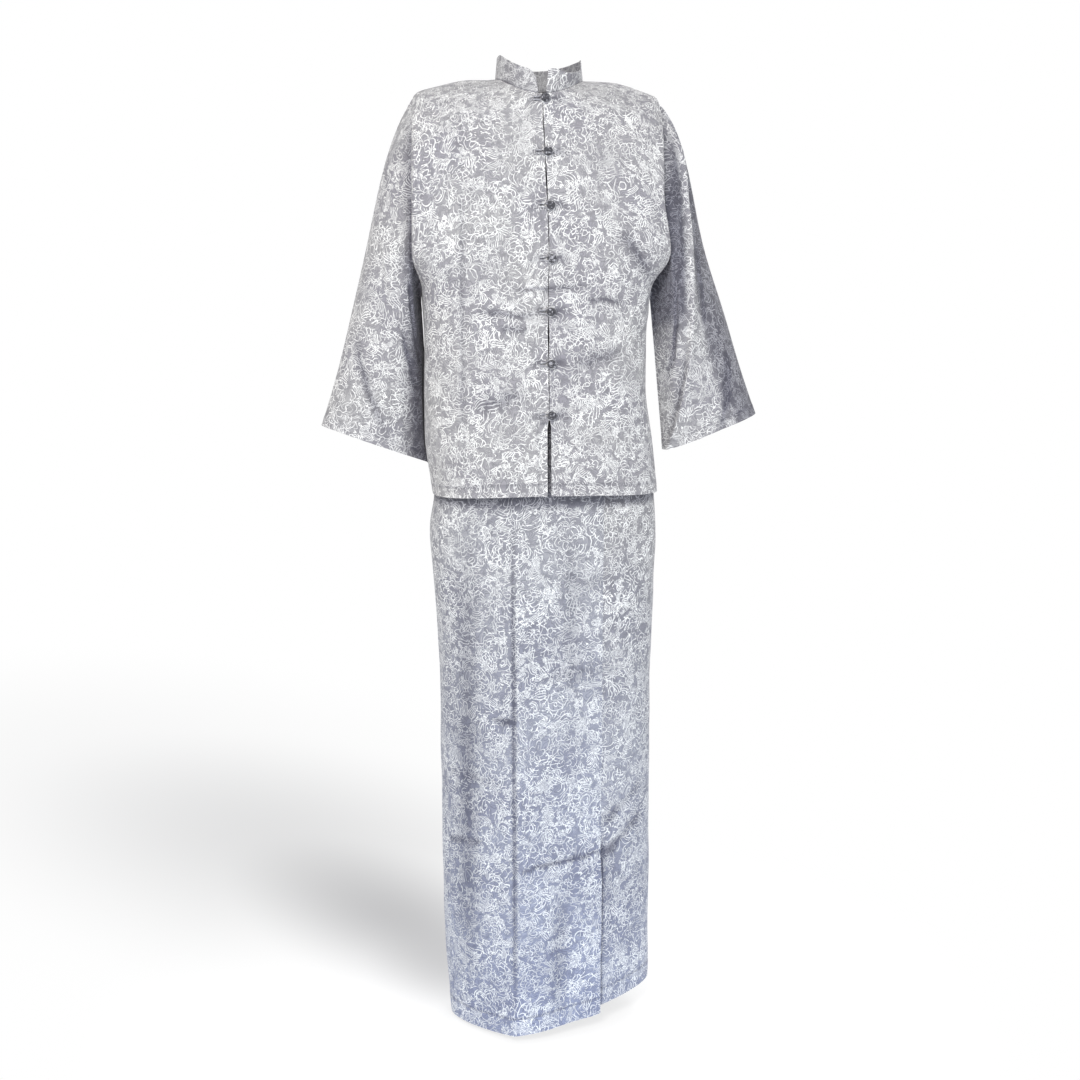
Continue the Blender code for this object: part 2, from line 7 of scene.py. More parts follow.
import bpy
import numpy as np
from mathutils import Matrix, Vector


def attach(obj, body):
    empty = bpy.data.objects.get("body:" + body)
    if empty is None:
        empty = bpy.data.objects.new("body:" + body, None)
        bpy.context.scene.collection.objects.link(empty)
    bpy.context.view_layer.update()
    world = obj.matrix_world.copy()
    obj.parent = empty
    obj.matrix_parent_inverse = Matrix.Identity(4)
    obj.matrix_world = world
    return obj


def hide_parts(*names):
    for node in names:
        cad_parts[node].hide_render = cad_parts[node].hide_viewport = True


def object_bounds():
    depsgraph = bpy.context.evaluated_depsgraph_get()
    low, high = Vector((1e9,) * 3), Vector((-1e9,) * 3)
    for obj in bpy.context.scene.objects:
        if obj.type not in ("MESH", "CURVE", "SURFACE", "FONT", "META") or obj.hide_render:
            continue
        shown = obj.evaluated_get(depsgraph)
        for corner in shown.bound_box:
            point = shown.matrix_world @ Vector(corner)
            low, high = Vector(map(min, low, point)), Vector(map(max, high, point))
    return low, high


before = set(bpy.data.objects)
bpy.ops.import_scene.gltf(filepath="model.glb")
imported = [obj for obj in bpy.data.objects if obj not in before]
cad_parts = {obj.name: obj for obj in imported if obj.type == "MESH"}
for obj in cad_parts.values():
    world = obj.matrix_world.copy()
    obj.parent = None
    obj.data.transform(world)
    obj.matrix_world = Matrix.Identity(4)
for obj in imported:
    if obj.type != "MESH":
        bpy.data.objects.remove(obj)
cad_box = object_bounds()


# The camera: a little to the wearer's right of the middle, looking slightly down from chest
# height, and far enough off to take in the whole set.

CAMERA_AZIMUTH = math.radians(-8)
CAMERA_DOWN = math.radians(10.3)
CAMERA_DISTANCE = 2.1
CAMERA_HEIGHT = -0.28
CAMERA_LENS = 46.97
CAMERA_SENSOR = 36


def added(name, data):
    """Puts a new object in the scene."""
    thing = bpy.data.objects.new(name, data)
    bpy.context.scene.collection.objects.link(thing)
    return thing


camera = added("camera", bpy.data.cameras.new("camera"))
camera.location = (
    math.sin(CAMERA_AZIMUTH) * CAMERA_DISTANCE,
    -math.cos(CAMERA_AZIMUTH) * CAMERA_DISTANCE,
    CAMERA_HEIGHT,
)
camera.rotation_euler = (math.pi / 2 - CAMERA_DOWN, 0, CAMERA_AZIMUTH)
camera.data.lens = CAMERA_LENS
camera.data.sensor_width = CAMERA_SENSOR
bpy.context.scene.camera = camera


# The room: a white floor that runs up into a white wall, in plain studio light. It isn't part of
# the set. The floor is painted with the soft shade that such a garment throws behind it.

FLOOR_Z = cad_box[0][2] - 0.004
FLOOR_REACH = 40.0
WHITE = (1.0, 1.0, 1.0, 1.0)
FLOOR_SHADE = (0.42, 0.42, 0.43, 1.0)
FLOOR_GLOW = 0.30
# Between these distances from its middle the floor turns into plain white light
FLOOR_FADE = {"From Min": 0.15, "From Max": 0.75, "To Min": 0.65, "To Max": 1.0}
ROOM_LIGHT = 0.54
ROOM_COLOUR = (0.995, 0.99, 1.0, 1.0)
# Soft shade on the floor: its middle, half lengths, turn in degrees and depth
FLOOR_SHADES = [
    ((-0.13, 0.13), (0.22, 0.15), 115.0, 0.42),
    ((-0.20, 0.32), (0.55, 0.25), 124.0, 0.74),
    ((-0.42, 0.72), (1.00, 0.58), 128.0, 0.36),
    ((-0.85, 1.25), (1.50, 0.95), 128.0, 0.12),
]
# Each light: where it is, where it points, its width, its power in watts and its colour
LIGHTS = {
    "key light": ((-1.0, -2.5, 1.35), (0.0, 0.0, -0.15), 1.1, 66, (1.0, 0.99, 0.97)),
    "low fill": ((0.9, -2.1, -1.0), (0.0, 0.0, -1.15), 1.0, 13, (0.72, 0.84, 1.0)),
    "back light": ((1.2, 2.0, 0.9), (0.0, 0.0, -0.5), 1.4, 34, (1.0, 1.0, 1.0)),
}


def fill_inputs(tree, node, inputs):
    """Joins the inputs of a node to sockets or marks, or sets them to plain values."""
    for label, value in inputs.items():
        value = getattr(value, "socket", value)
        if isinstance(value, bpy.types.NodeSocket):
            tree.links.new(value, node.inputs[label])
        else:
            node.inputs[label].default_value = value


def add_node(tree, kind, inputs=None, **settings):
    """Adds a node to a tree, with its settings and its inputs."""
    node = tree.nodes.new("ShaderNode" + kind)
    for label, value in settings.items():
        setattr(node, label, value)
    fill_inputs(tree, node, inputs or {})
    return node


def colour_mix(tree, factor, first, second, mode="MIX"):
    """Mixes two colours, given as values or sockets."""
    inputs = {0: factor, 6: first, 7: second}
    return add_node(tree, "Mix", inputs, data_type="RGBA", blend_type=mode).outputs[2]


def new_material(name):
    """A new material, with its tree of nodes and its shader."""
    material = bpy.data.materials.new(name)
    material.use_nodes = True
    return material, material.node_tree, material.node_tree.nodes["Principled BSDF"]


floor_mesh = bpy.data.meshes.new("floor")
floor_corners = [(-FLOOR_REACH, -FLOOR_REACH, 0.0), (FLOOR_REACH, -FLOOR_REACH, 0.0)]
floor_corners += [(FLOOR_REACH, FLOOR_REACH, 0.0), (-FLOOR_REACH, FLOOR_REACH, 0.0)]
floor_mesh.from_pydata(floor_corners, [], [(0, 1, 2, 3)])
floor = added("floor", floor_mesh)
floor.location.z = FLOOR_Z
floor_paint, paint, floor_shader = new_material("floor white")
floor_place = add_node(paint, "TexCoord").outputs["Object"]
floor_tone = WHITE
for middle, reach, turn, depth in FLOOR_SHADES:
    laid = {
        "Vector": floor_place,
        "Location": (*middle, 0.0),
        "Rotation": (0.0, 0.0, math.radians(turn)),
        "Scale": (*reach, 1.0),
    }
    patch = add_node(paint, "Mapping", laid, vector_type="TEXTURE").outputs[0]
    ball = add_node(paint, "TexGradient", {"Vector": patch}, gradient_type="SPHERICAL")
    spread = {"Value": ball.outputs["Fac"], "To Max": depth}
    amount = add_node(paint, "MapRange", spread, interpolation_type="SMOOTHSTEP")
    floor_tone = colour_mix(paint, amount.outputs[0], floor_tone, FLOOR_SHADE)
painted = {"Base Color": floor_tone, "Emission Color": floor_tone, "Emission Strength": FLOOR_GLOW}
fill_inputs(paint, floor_shader, {**painted, "Roughness": 0.9, "Specular IOR Level": 0.1})
far_floor = add_node(paint, "Emission", {"Color": floor_tone})
far = add_node(paint, "VectorMath", {0: floor_place}, operation="LENGTH").outputs["Value"]
fade = add_node(paint, "MapRange", {"Value": far, **FLOOR_FADE}, interpolation_type="SMOOTHSTEP")
looks = {0: fade.outputs[0], 1: floor_shader.outputs[0], 2: far_floor.outputs[0]}
floor_look = add_node(paint, "MixShader", looks).outputs[0]
fill_inputs(paint, paint.nodes["Material Output"], {"Surface": floor_look})
floor_mesh.materials.append(floor_paint)

# The room lights the cloth softly, and shows as plain white behind it
world = bpy.data.worlds.new("studio")
world.use_nodes = True
room = world.node_tree
room_light = room.nodes["Background"]
fill_inputs(room, room_light, {"Color": ROOM_COLOUR, "Strength": ROOM_LIGHT})
backdrop = add_node(room, "Background", {"Color": WHITE, "Strength": 1.0})
seen = add_node(room, "LightPath").outputs["Is Camera Ray"]
looks = {0: seen, 1: room_light.outputs[0], 2: backdrop.outputs[0]}
room_look = add_node(room, "MixShader", looks).outputs[0]
fill_inputs(room, room.nodes["World Output"], {"Surface": room_look})
bpy.context.scene.world = world
bpy.context.scene.view_settings.view_transform = "Standard"

for name, (place, target, width, power, colour) in LIGHTS.items():
    lamp = bpy.data.lights.new(name, "AREA")
    lamp.size = width
    lamp.energy = power
    lamp.color = colour
    light = added(name, lamp)
    light.location = place
    light.rotation_euler = (Vector(target) - Vector(place)).to_track_quat("-Z", "Y").to_euler()


# The top's wearer's-right front. A half front of thin plain-woven cotton, cut with a straight
# centre edge and a curved armhole, printed all over with wax-line flowers, leaves and hooks.
# It is joined to the back at the side and shoulder, and its hem is turned up and stitched.

# The top's form, level by level from hem to neck, as in the solids
TOP_COLUMNS = (
    "x_right x_left z_edge y_edge_front y_edge_back x_front z_front y_front z_back y_back square"
)
TOP_LEVELS = [
    (0.161, 0.170, -0.583, -0.012, -0.012, -0.003, -0.577, -0.120, -0.582, 0.100, 2.8),
    (0.172, 0.162, -0.500, -0.012, -0.012, -0.003, -0.500, -0.117, -0.500, 0.097, 2.8),
    (0.173, 0.153, -0.425, -0.012, -0.012, -0.003, -0.425, -0.113, -0.425, 0.094, 2.8),
    (0.171, 0.153, -0.360, -0.012, -0.012, -0.003, -0.360, -0.110, -0.360, 0.093, 2.8),
    (0.174, 0.160, -0.288, -0.012, -0.012, -0.003, -0.290, -0.107, -0.290, 0.094, 2.8),
    (0.190, 0.178, -0.235, -0.056, 0.038, -0.002, -0.245, -0.105, -0.240, 0.096, 3.0),
    (0.190, 0.166, -0.150, -0.068, 0.054, -0.003, -0.180, -0.102, -0.170, 0.097, 3.0),
    (0.187, 0.167, -0.070, -0.046, 0.036, -0.005, -0.125, -0.096, -0.095, 0.092, 2.8),
    (0.182, 0.171, -0.021, 0.000, 0.000, -0.006, -0.085, -0.088, -0.048, 0.085, 2.4),
    (0.150, 0.141, -0.005, 0.002, 0.002, -0.007, -0.057, -0.082, -0.024, 0.077, 2.2),
    (0.105, 0.100, 0.005, 0.004, 0.004, -0.007, -0.036, -0.078, -0.010, 0.069, 2.1),
    (0.064, 0.062, 0.006, 0.005, 0.005, -0.007, -0.020, -0.073, -0.001, 0.060, 2.0),
]
HEM, UNDERARM, SHOULDER, NECK = 0, 4, 8, 11
UNDERARM_ROW, ARMHOLE_ROWS, SHOULDER_ROWS = 110, 66, 40
SHOULDER_ROW = UNDERARM_ROW + ARMHOLE_ROWS
FRONT_COLUMNS = 80
COLUMN_WIDTH = 0.0031
SIGN = {"right": -1, "left": 1}

SEAM_GAP = 0.0003
SEAM_DIP = 0.0006
CLOTH_THICKNESS = 0.0007
HEM_THICKNESS = 0.0013
TOP_HEM_DEPTH = 0.018

BUTTON_COUNT = 7
FIRST_BUTTON_Z = -0.028
LAST_BUTTON_Z = -0.463
BUTTON_STEP = (FIRST_BUTTON_Z - LAST_BUTTON_Z) / (BUTTON_COUNT - 1)
SLIT_HALF_GAP = 0.0028
CLOSED_HALF_GAP = 0.0004
# How far the edges part half way between one button and the next
BETWEEN_HALF_GAPS = (0.0006, 0.0008, 0.0002, 0.0001, 0.0007, 0.0002)

# Creases of the fronts seen from the front: ends in X and Z, width, and height out of the cloth
FRONT_CREASES = [
    (-0.128, -0.075, -0.129, -0.302, 0.0035, 0.0011),
    (-0.1235, -0.075, -0.1245, -0.560, 0.0022, -0.0006),
    (-0.129, -0.290, -0.128, -0.565, 0.0035, 0.0013),
    (-0.122, -0.090, -0.123, -0.560, 0.0060, -0.0004),
    (-0.064, -0.288, 0.055, -0.283, 0.0045, -0.0017),
    (-0.066, -0.281, 0.050, -0.276, 0.0060, 0.0010),
    (0.050, -0.301, 0.108, -0.303, 0.0045, -0.0016),
    (0.055, -0.294, 0.105, -0.296, 0.0055, 0.0009),
    (-0.105, -0.317, -0.021, -0.327, 0.0045, -0.0015),
    (-0.075, -0.343, -0.028, -0.342, 0.0050, -0.0014),
    (0.156, -0.292, 0.072, -0.258, 0.0110, 0.0022),
    (0.158, -0.312, 0.092, -0.362, 0.0120, 0.0020),
    (0.150, -0.275, 0.100, -0.205, 0.0110, -0.0016),
    (-0.166, -0.300, -0.140, -0.250, 0.0100, 0.0016),
    (0.030, -0.395, 0.110, -0.372, 0.0090, -0.0012),
    (-0.110, -0.455, -0.035, -0.430, 0.0110, -0.0011),
    (0.040, -0.500, 0.130, -0.515, 0.0120, 0.0010),
    (0.060, -0.090, 0.130, -0.150, 0.0120, 0.0012),
    (-0.060, -0.085, -0.135, -0.170, 0.0130, 0.0011),
]
# Puckers beside each button: how far out each reaches, and how far it drops
BUTTON_PUCKERS = ((0.030, 0.004), (0.024, -0.006))
PUCKER_WIDTH, PUCKER_DEPTH = 0.0035, 0.0009


def columns_of(names, rows):
    """Gives each column of a table of levels its name."""
    return dict(zip(names.split(), np.array(rows, float).T))


TOP = columns_of(TOP_COLUMNS, TOP_LEVELS)


def read(table, column, at):
    """Reads a column between its levels along a smooth curve without overshoot."""
    values = table[column]
    at = np.asarray(at, float)
    i = np.clip(at.astype(int), 0, len(values) - 2)
    t = at - i
    step = np.diff(values)
    slope = np.concatenate([step[:1], np.zeros(len(step) - 1), step[-1:]])
    before, after = step[:-1], step[1:]
    rising = before * after > 0
    slope[1:-1][rising] = (2 * before * after)[rising] / (before + after)[rising]
    smooth = t * t * (3 - 2 * t)
    bend = slope[i] * t * (1 - t) ** 2 + slope[i + 1] * t * t * (t - 1)
    return values[i] + step[i] * smooth + bend


def ease(x):
    """Rises smoothly from 0 to 1."""
    x = np.clip(x, 0.0, 1.0)
    return x * x * (3 - 2 * x)


def bell(away, width):
    """A soft hump: 1 at no distance, and nearly gone at two widths."""
    return np.exp(-((away / width) ** 2))


def unit(ways):
    """The same directions, each of length one."""
    return ways / np.maximum(np.linalg.norm(ways, axis=-1, keepdims=True), 1e-12)


def lengths_along(points):
    """Lengths along a line of points, from 0 at its first."""
    steps = np.linalg.norm(np.diff(points, axis=0), axis=1)
    return np.concatenate([[0.0], np.cumsum(steps)])


def even(curve, shares):
    """Points at the given shares of a finely drawn curve's length."""
    lengths = lengths_along(curve)
    want = np.asarray(shares) * lengths[-1]
    return np.stack([np.interp(want, lengths, curve[:, k]) for k in range(3)], axis=1)


def top_row(side, face, line, shares):
    """One row of the top, from its centre line out to the side seam, armhole or shoulder seam."""
    turn = np.linspace(0, math.pi / 2, 121)
    power = 2 / read(TOP, "square", line)
    out = np.sin(turn) ** power
    back = np.maximum(np.cos(turn), 0.0) ** power
    shift = read(TOP, "x_front", line) if face == "front" else 0.0
    edge_y = read(TOP, "y_edge_" + face, line)
    edge_z = read(TOP, "z_edge", line)
    middle_y = read(TOP, "y_" + face, line)
    middle_z = read(TOP, "z_" + face, line)
    x = SIGN[side] * read(TOP, "x_" + side, line) * out + shift * (1 - out**2)
    y = edge_y + (middle_y - edge_y) * back
    z = middle_z + (edge_z - middle_z) * out**2
    return even(np.stack([x, y, z], axis=1), shares)


def top_lines():
    """The rows of the top, evenly spaced along the side, the armhole and the shoulder."""
    fine = np.linspace(UNDERARM, SHOULDER, 400)
    edge = np.array([top_row("left", "front", line, [1.0])[0] for line in fine])
    lengths = lengths_along(edge)
    armhole = np.interp(np.linspace(0, lengths[-1], ARMHOLE_ROWS + 1), lengths, fine)
    side = np.linspace(HEM, UNDERARM, UNDERARM_ROW + 1)
    shoulder = np.linspace(SHOULDER, NECK, SHOULDER_ROWS + 1)
    return np.concatenate([side[:-1], armhole[:-1], shoulder])


TOP_LINES = top_lines()


def front_gap(z):
    """Half the distance between the two front edges at each height."""
    below = ease((LAST_BUTTON_Z - z) / 0.02)
    slit = CLOSED_HALF_GAP + (SLIT_HALF_GAP - CLOSED_HALF_GAP) * below
    place = (FIRST_BUTTON_Z - z) / BUTTON_STEP
    own = np.array(BETWEEN_HALF_GAPS)[np.clip(place.astype(int), 0, BUTTON_COUNT - 2)]
    between = np.sin(math.pi * place) ** 2
    return np.where(z < LAST_BUTTON_Z, slit, CLOSED_HALF_GAP + own * between)


def quarter(side, face):
    """A quarter of the top's body as a grid of points, from the centre line to the edge."""
    shares = np.linspace(0, 1, FRONT_COLUMNS + 1)
    grid = np.array([top_row(side, face, line, shares) for line in TOP_LINES])
    if face == "front":
        near = 1 - ease(np.linspace(0, 4, FRONT_COLUMNS + 1))
        grid[:, :, 0] += SIGN[side] * front_gap(grid[:, :1, 2]) * near
    return grid


def wrapped(grid):
    """A ring's grid with its first column once more at its end."""
    return np.concatenate([grid, grid[:, :1]], axis=1)


def normals_of(grid, ring=False):
    """Directions square to a grid of points, by its rows going up and columns going across."""
    if ring:
        across = np.roll(grid, -1, axis=1) - np.roll(grid, 1, axis=1)
    else:
        across = np.gradient(grid, axis=1)
    return unit(np.cross(across, np.gradient(grid, axis=0)))


def cloth_map(grid, ring=False):
    """Where each point lies on the flat cloth, in metres: across by its row, up by its column."""
    wide = wrapped(grid) if ring else grid
    across, up = np.zeros((2, *wide.shape[:2]))
    across[:, 1:] = np.cumsum(np.linalg.norm(np.diff(wide, axis=1), axis=2), axis=1)
    up[1:] = np.cumsum(np.linalg.norm(np.diff(wide, axis=0), axis=2), axis=0)
    return np.stack([across, up], axis=2)


def away_from_line(a, b, x0, z0, x1, z1):
    """Distance of each point from a crease, and how far along it the point lies."""
    along = np.array([x1 - x0, z1 - z0])
    t = ((a - x0) * along[0] + (b - z0) * along[1]) / along.dot(along)
    inside = np.clip(t, 0, 1)
    return np.hypot(a - x0 - inside * along[0], b - z0 - inside * along[1]), t


def creased(a, b, creases):
    """How far soft creases lift each point out of the cloth."""
    lift = np.zeros(a.shape)
    for x0, z0, x1, z1, width, height in creases:
        wander = 0.25 * width * np.sin(a * 190 + b * 140 + x0 * 900)
        away, t = away_from_line(a, b + wander, x0, z0, x1, z1)
        taper = np.clip(1 - np.abs(2 * np.clip(t, 0, 1) - 1) ** 3, 0, 1)
        lift += height * taper * bell(away, width)
    return lift


def ripples(points, seed, shortest, longest, upright, count=10):
    """Gentle unevenness, from -1 to 1. Upright waves run down the cloth, as in hanging folds."""
    random = np.random.default_rng(seed)
    total = np.zeros(points.shape[:-1])
    for _ in range(count):
        way = random.normal(size=3) * (1, 1, 1 - upright)
        way /= np.linalg.norm(way)
        length = random.uniform(shortest, longest)
        total += np.sin(points @ way * 2 * math.pi / length + random.uniform(0, 2 * math.pi))
    return total / math.sqrt(count) / 1.6


def sum_of(operation):
    """One kind of plain sum that a mark can do."""
    return lambda self, *others: self.make(operation, *others)


class Mark:
    """A value that changes over the cloth: one socket of a tree, joined up by plain sums."""

    def __init__(self, tree, socket):
        self.tree = tree
        self.socket = socket

    def make(self, operation, *others):
        """Joins this mark to others, or to plain numbers, with one node."""
        inputs = dict(enumerate((self, *others)))
        node = add_node(self.tree, "Math", inputs, operation=operation)
        return Mark(self.tree, node.outputs[0])

    __add__ = sum_of("ADD")
    __sub__ = sum_of("SUBTRACT")
    __mul__ = sum_of("MULTIPLY")
    __truediv__ = sum_of("DIVIDE")
    __pow__ = sum_of("POWER")
    __abs__ = sum_of("ABSOLUTE")
    __lt__ = sum_of("LESS_THAN")
    __gt__ = sum_of("GREATER_THAN")
    least = sum_of("MINIMUM")
    most = sum_of("MAXIMUM")
    sine = sum_of("SINE")
    cosine = sum_of("COSINE")

    def share(self):
        """Kept between 0 and 1."""
        return self.most(0.0).least(1.0)

    def stripe(self, pitch):
        """Distance from the nearest of a set of lines one pitch apart."""
        return abs((self / pitch).make("FRACT") - 0.5) * pitch

    def unless(self, mask):
        """Pushes a distance out of reach where the mask is 1."""
        return self + mask

    def only(self, mask):
        """Pushes a distance out of reach where the mask is 0."""
        return self + 1.0 - mask


def grouped(name, inputs, outputs):
    """A new group of nodes with named sockets, its inputs as marks, and its outgoing node."""
    tree = bpy.data.node_groups.new(name, "ShaderNodeTree")
    for label, kind, value in inputs:
        socket = tree.interface.new_socket(label, in_out="INPUT", socket_type=kind)
        if value is not None:
            socket.default_value = value
    for label, kind in outputs:
        tree.interface.new_socket(label, in_out="OUTPUT", socket_type=kind)
    entry = tree.nodes.new("NodeGroupInput")
    leave = tree.nodes.new("NodeGroupOutput")
    marks = {label: Mark(tree, entry.outputs[label]) for label, _, _ in inputs}
    return tree, marks, leave


def noise(tree, place, scale, detail=2.0, output="Fac", dimensions="2D"):
    """Soft random cloudiness, as fine as its scale is large."""
    inputs = {"Vector": place, "Scale": scale, "Detail": detail}
    node = add_node(tree, "TexNoise", inputs, noise_dimensions=dimensions)
    return Mark(tree, node.outputs[output])


def placed(tree, operation, *inputs):
    """A place on the flat cloth, moved or stretched."""
    return add_node(tree, "VectorMath", dict(enumerate(inputs)), operation=operation).outputs[0]


def across_and_up(tree, place):
    """The two measures of a place on the flat cloth."""
    split = add_node(tree, "SeparateXYZ", {0: place})
    return Mark(tree, split.outputs[0]), Mark(tree, split.outputs[1])


def swayed(tree, place, scale, reach, detail=1.0):
    """The flat cloth's measure, pushed about so that what is drawn on it looks drawn by hand."""
    sway = noise(tree, place, scale, detail, "Color")
    centred = placed(tree, "SUBTRACT", sway, (0.5, 0.5, 0.5))
    return placed(tree, "MULTIPLY_ADD", centred, (reach, reach, 0.0), place)


def motif_cells(tree, place, size, loose=0.9, offset=(0.0, 0.0)):
    """Scatters motifs: radius and angle from each motif's middle, and three numbers of its own."""
    place = placed(tree, "ADD", place, (*offset, 0.0))
    inputs = {"Vector": place, "Scale": 1 / size, "Randomness": loose}
    cells = add_node(tree, "TexVoronoi", inputs, voronoi_dimensions="2D").outputs
    x, y = across_and_up(tree, placed(tree, "SUBTRACT", place, cells["Position"]))
    own = add_node(tree, "SeparateColor", {0: cells["Color"]}).outputs
    first, second, third = (Mark(tree, own[k]) for k in range(3))
    radius = (x * x + y * y) ** 0.5
    angle = y.make("ARCTAN2", x) + first * (2 * math.pi)
    return radius, angle, first, second, third


def draw_flower(radius, angle, reach, petals):
    """An open flower in outline: two rings of petals, short veins and a ringed middle."""
    reach = reach * (angle.cosine() * 0.16 + 1.0)
    lobes = abs((angle * petals * 0.5).cosine()) ** 0.6
    inner_lobes = abs((angle * petals * 0.5).sine()) ** 0.7
    rim = reach * (lobes * 0.46 + 0.54)
    heart = reach * (inner_lobes * 0.26 + 0.27)
    outline = abs(radius - rim) * 0.85
    second = abs(radius - rim * 0.76).unless(radius < heart * 1.1) * 0.9
    veins = (abs((angle * petals * 1.5).sine()) * radius / (petals * 1.5)).unless(
        (radius < rim * 0.84) + (radius > rim)
    )
    inner = abs(radius - heart) * 0.85
    ring = abs(radius - reach * 0.14)
    stamens = (abs((angle * petals).sine()) * radius / petals).unless(
        (radius < reach * 0.19) + (radius > heart * 0.72)
    )
    return outline.least(second).least(veins).least(inner).least(ring).least(stamens), rim


def draw_spray(radius, angle, reach, leaves, kept):
    """Pointed leaves that spread from one place, each with a vein and two inner lines."""
    turn = angle * (leaves / (2 * math.pi))
    whole = turn.make("FLOOR")
    across = (turn - whole - 0.5) * (2 * math.pi / leaves)
    x = radius * across.cosine()
    y = radius * across.sine() + x * x / reach * 0.22
    shown = ((whole * 2.7).sine() > kept) * 1.0
    share = ((x / reach - 0.56) / 0.44).most(-1.0).least(1.0)
    half = (share * share * -1.0 + 1.0) * reach * 0.20
    edge = abs(abs(y) - half) * 0.95
    vein = abs(y).unless(x > reach * 0.8)
    inner = abs(abs(y) - half * 0.5).unless((x > reach * 0.78) + (x < reach * 0.3))
    inside = (abs(y) < half + 0.0012) * (x < reach) * (radius > reach * 0.10) * shown
    return edge.least(vein).least(inner).unless(x > reach), inside


def flow_lines(tree, place, scale, offset, spacing, least_slope):
    """Distance from wandering lines that follow each other, like water or hair."""
    x, y = offset
    step = 0.0008
    flow, beside, above = (
        noise(tree, placed(tree, "ADD", place, (*way, 0.0)), scale, 1.0)
        for way in ((x, y), (x + step, y), (x, y + step))
    )
    slope = ((beside - flow) ** 2.0 + (above - flow) ** 2.0) ** 0.5 / step
    return flow.stripe(spacing) / slope.most(least_slope)


PRINT_SCALE = 1.24
LINE_WIDTH = 0.00056
PRINT_MARKS = ("Line", "Soft edge", "Dark line", "Cloud")
# Sprays of leaves: room for each, offset, reach and its spread, leaves, and how many are left out
SPRAYS = [
    (0.060, (0.71, 0.13), 0.026, 0.010, 7.0, -0.35),
    (0.095, (0.19, 0.57), 0.036, 0.012, 5.0, 0.1),
]


def make_wax_print():
    """Draws the wax print from the cloth's own flat measure: pale lines, the soft dark edge beside
    them, fine dark lines and the dye's cloudiness. Motifs lie in layers, each over the next."""
    tree, inputs, leave = grouped(
        "Wax print",
        [("Cloth", "NodeSocketVector", None), ("Line width", "NodeSocketFloat", LINE_WIDTH)],
        [(label, "NodeSocketFloat") for label in PRINT_MARKS],
    )
    flat = inputs["Cloth"]
    finer = placed(tree, "MULTIPLY", flat, (PRINT_SCALE,) * 3)
    place = swayed(tree, swayed(tree, finer, 17.0, 0.024), 70.0, 0.0045, 2.0)

    radius, angle, own, size, count = motif_cells(tree, place, 0.082, 0.75)
    flower, rim = draw_flower(radius, angle, size * 0.012 + 0.026, (count > 0.45) + 5.0)
    in_flower = (radius < rim + 0.0012) * (own < 0.80)
    echo = (radius - rim).stripe(0.0080)
    near_flower = ((radius - rim) < 0.0125) * (own < 0.80)

    layers = []
    for room_for_each, offset, least_reach, spread, leaves, kept in SPRAYS:
        radius, angle, _, size, _ = motif_cells(tree, place, room_for_each, offset=offset)
        spray, inside = draw_spray(radius, angle, size * spread + least_reach, leaves, kept)
        layers.append((spray.only(inside), inside))

    radius, angle, own, size, count = motif_cells(tree, place, 0.046, offset=(0.37, 0.21))
    bud, bud_rim = draw_flower(radius, angle, size * 0.005 + 0.011, (count > 0.5) + 4.0)
    in_bud = (radius < bud_rim + 0.0008) * (own < 0.72)
    layers.append((bud.only(in_bud), in_bud))

    radius, angle, _, size, count = motif_cells(tree, place, 0.030, offset=(0.29, 0.83))
    hook = (radius + angle * (0.0068 / (2 * math.pi))).stripe(0.0068)
    in_hook = (radius < size * 0.004 + 0.0070) * (count < 0.75)
    layers.append((hook.only(in_hook), in_hook))

    radius, angle, *_ = motif_cells(tree, place, 0.040, offset=(0.63, 0.47))
    star = abs((angle * 3.0).sine()) * radius * 0.33
    layers.append((star.only(radius < 0.0075), radius < 0.009))

    back, covered = layers[0]
    for drawn, inside in layers[1:]:
        back = back.least(drawn.unless(covered))
        covered = covered.most(inside)

    echoes = echo.only(near_flower).unless(covered)
    scribble = flow_lines(tree, place, 19.0, (0.41, 0.91), 0.10, 3.0).unless(near_flower + covered)
    hatched = noise(tree, flat, 34.0, 1.0) > 0.35
    hatch = (flow_lines(tree, place, 44.0, (0.77, 0.35), 0.17, 9.0) + 0.00013).only(hatched)
    back = back.least(echoes).least(scribble)
    drawn = flower.only(in_flower).least(back.unless(in_flower)).least(hatch)

    brush = noise(tree, flat, 240.0, 3.0)
    gaps = noise(tree, flat, 70.0)
    width = inputs["Line width"] * (brush * 2.2 - 0.05)
    faded = (gaps * -1.0 + 0.42).most(0.0) * 0.010
    line = ((width - drawn - faded) / 0.0006 + 0.5).share()
    wash = noise(tree, flat, 14.0)
    line = line * (wash * 0.8 + 0.50).share()
    soft = ((width * 2.3 - drawn - faded) / 0.0013 + 0.20).share()
    etched = flow_lines(tree, place, 30.0, (0.23, 0.67), 0.052, 5.0)
    dark = ((width * 0.8 - etched) / 0.0005 + 0.5).share()
    cloud = noise(tree, flat, 9.0, 4.0)
    fill_inputs(tree, leave, dict(zip(PRINT_MARKS, (line, soft, dark, cloud))))
    return tree


WAX_PRINT = make_wax_print()


def make_plain_weave():
    """Over-and-under threads of plain cotton, with slubs, as a height."""
    tree, inputs, leave = grouped(
        "Plain weave",
        [("Cloth", "NodeSocketVector", None), ("Thread", "NodeSocketFloat", 0.0005)],
        [("Height", "NodeSocketFloat"), ("Slub", "NodeSocketFloat")],
    )
    across, up = across_and_up(tree, inputs["Cloth"])
    turn = inputs["Thread"] / math.pi
    slub = noise(tree, inputs["Cloth"], 420.0)
    height = (across / turn).sine() * (up / turn).sine() * 0.5 + slub
    fill_inputs(tree, leave, {"Height": height, "Slub": slub})
    return tree


PLAIN_WEAVE = make_plain_weave()


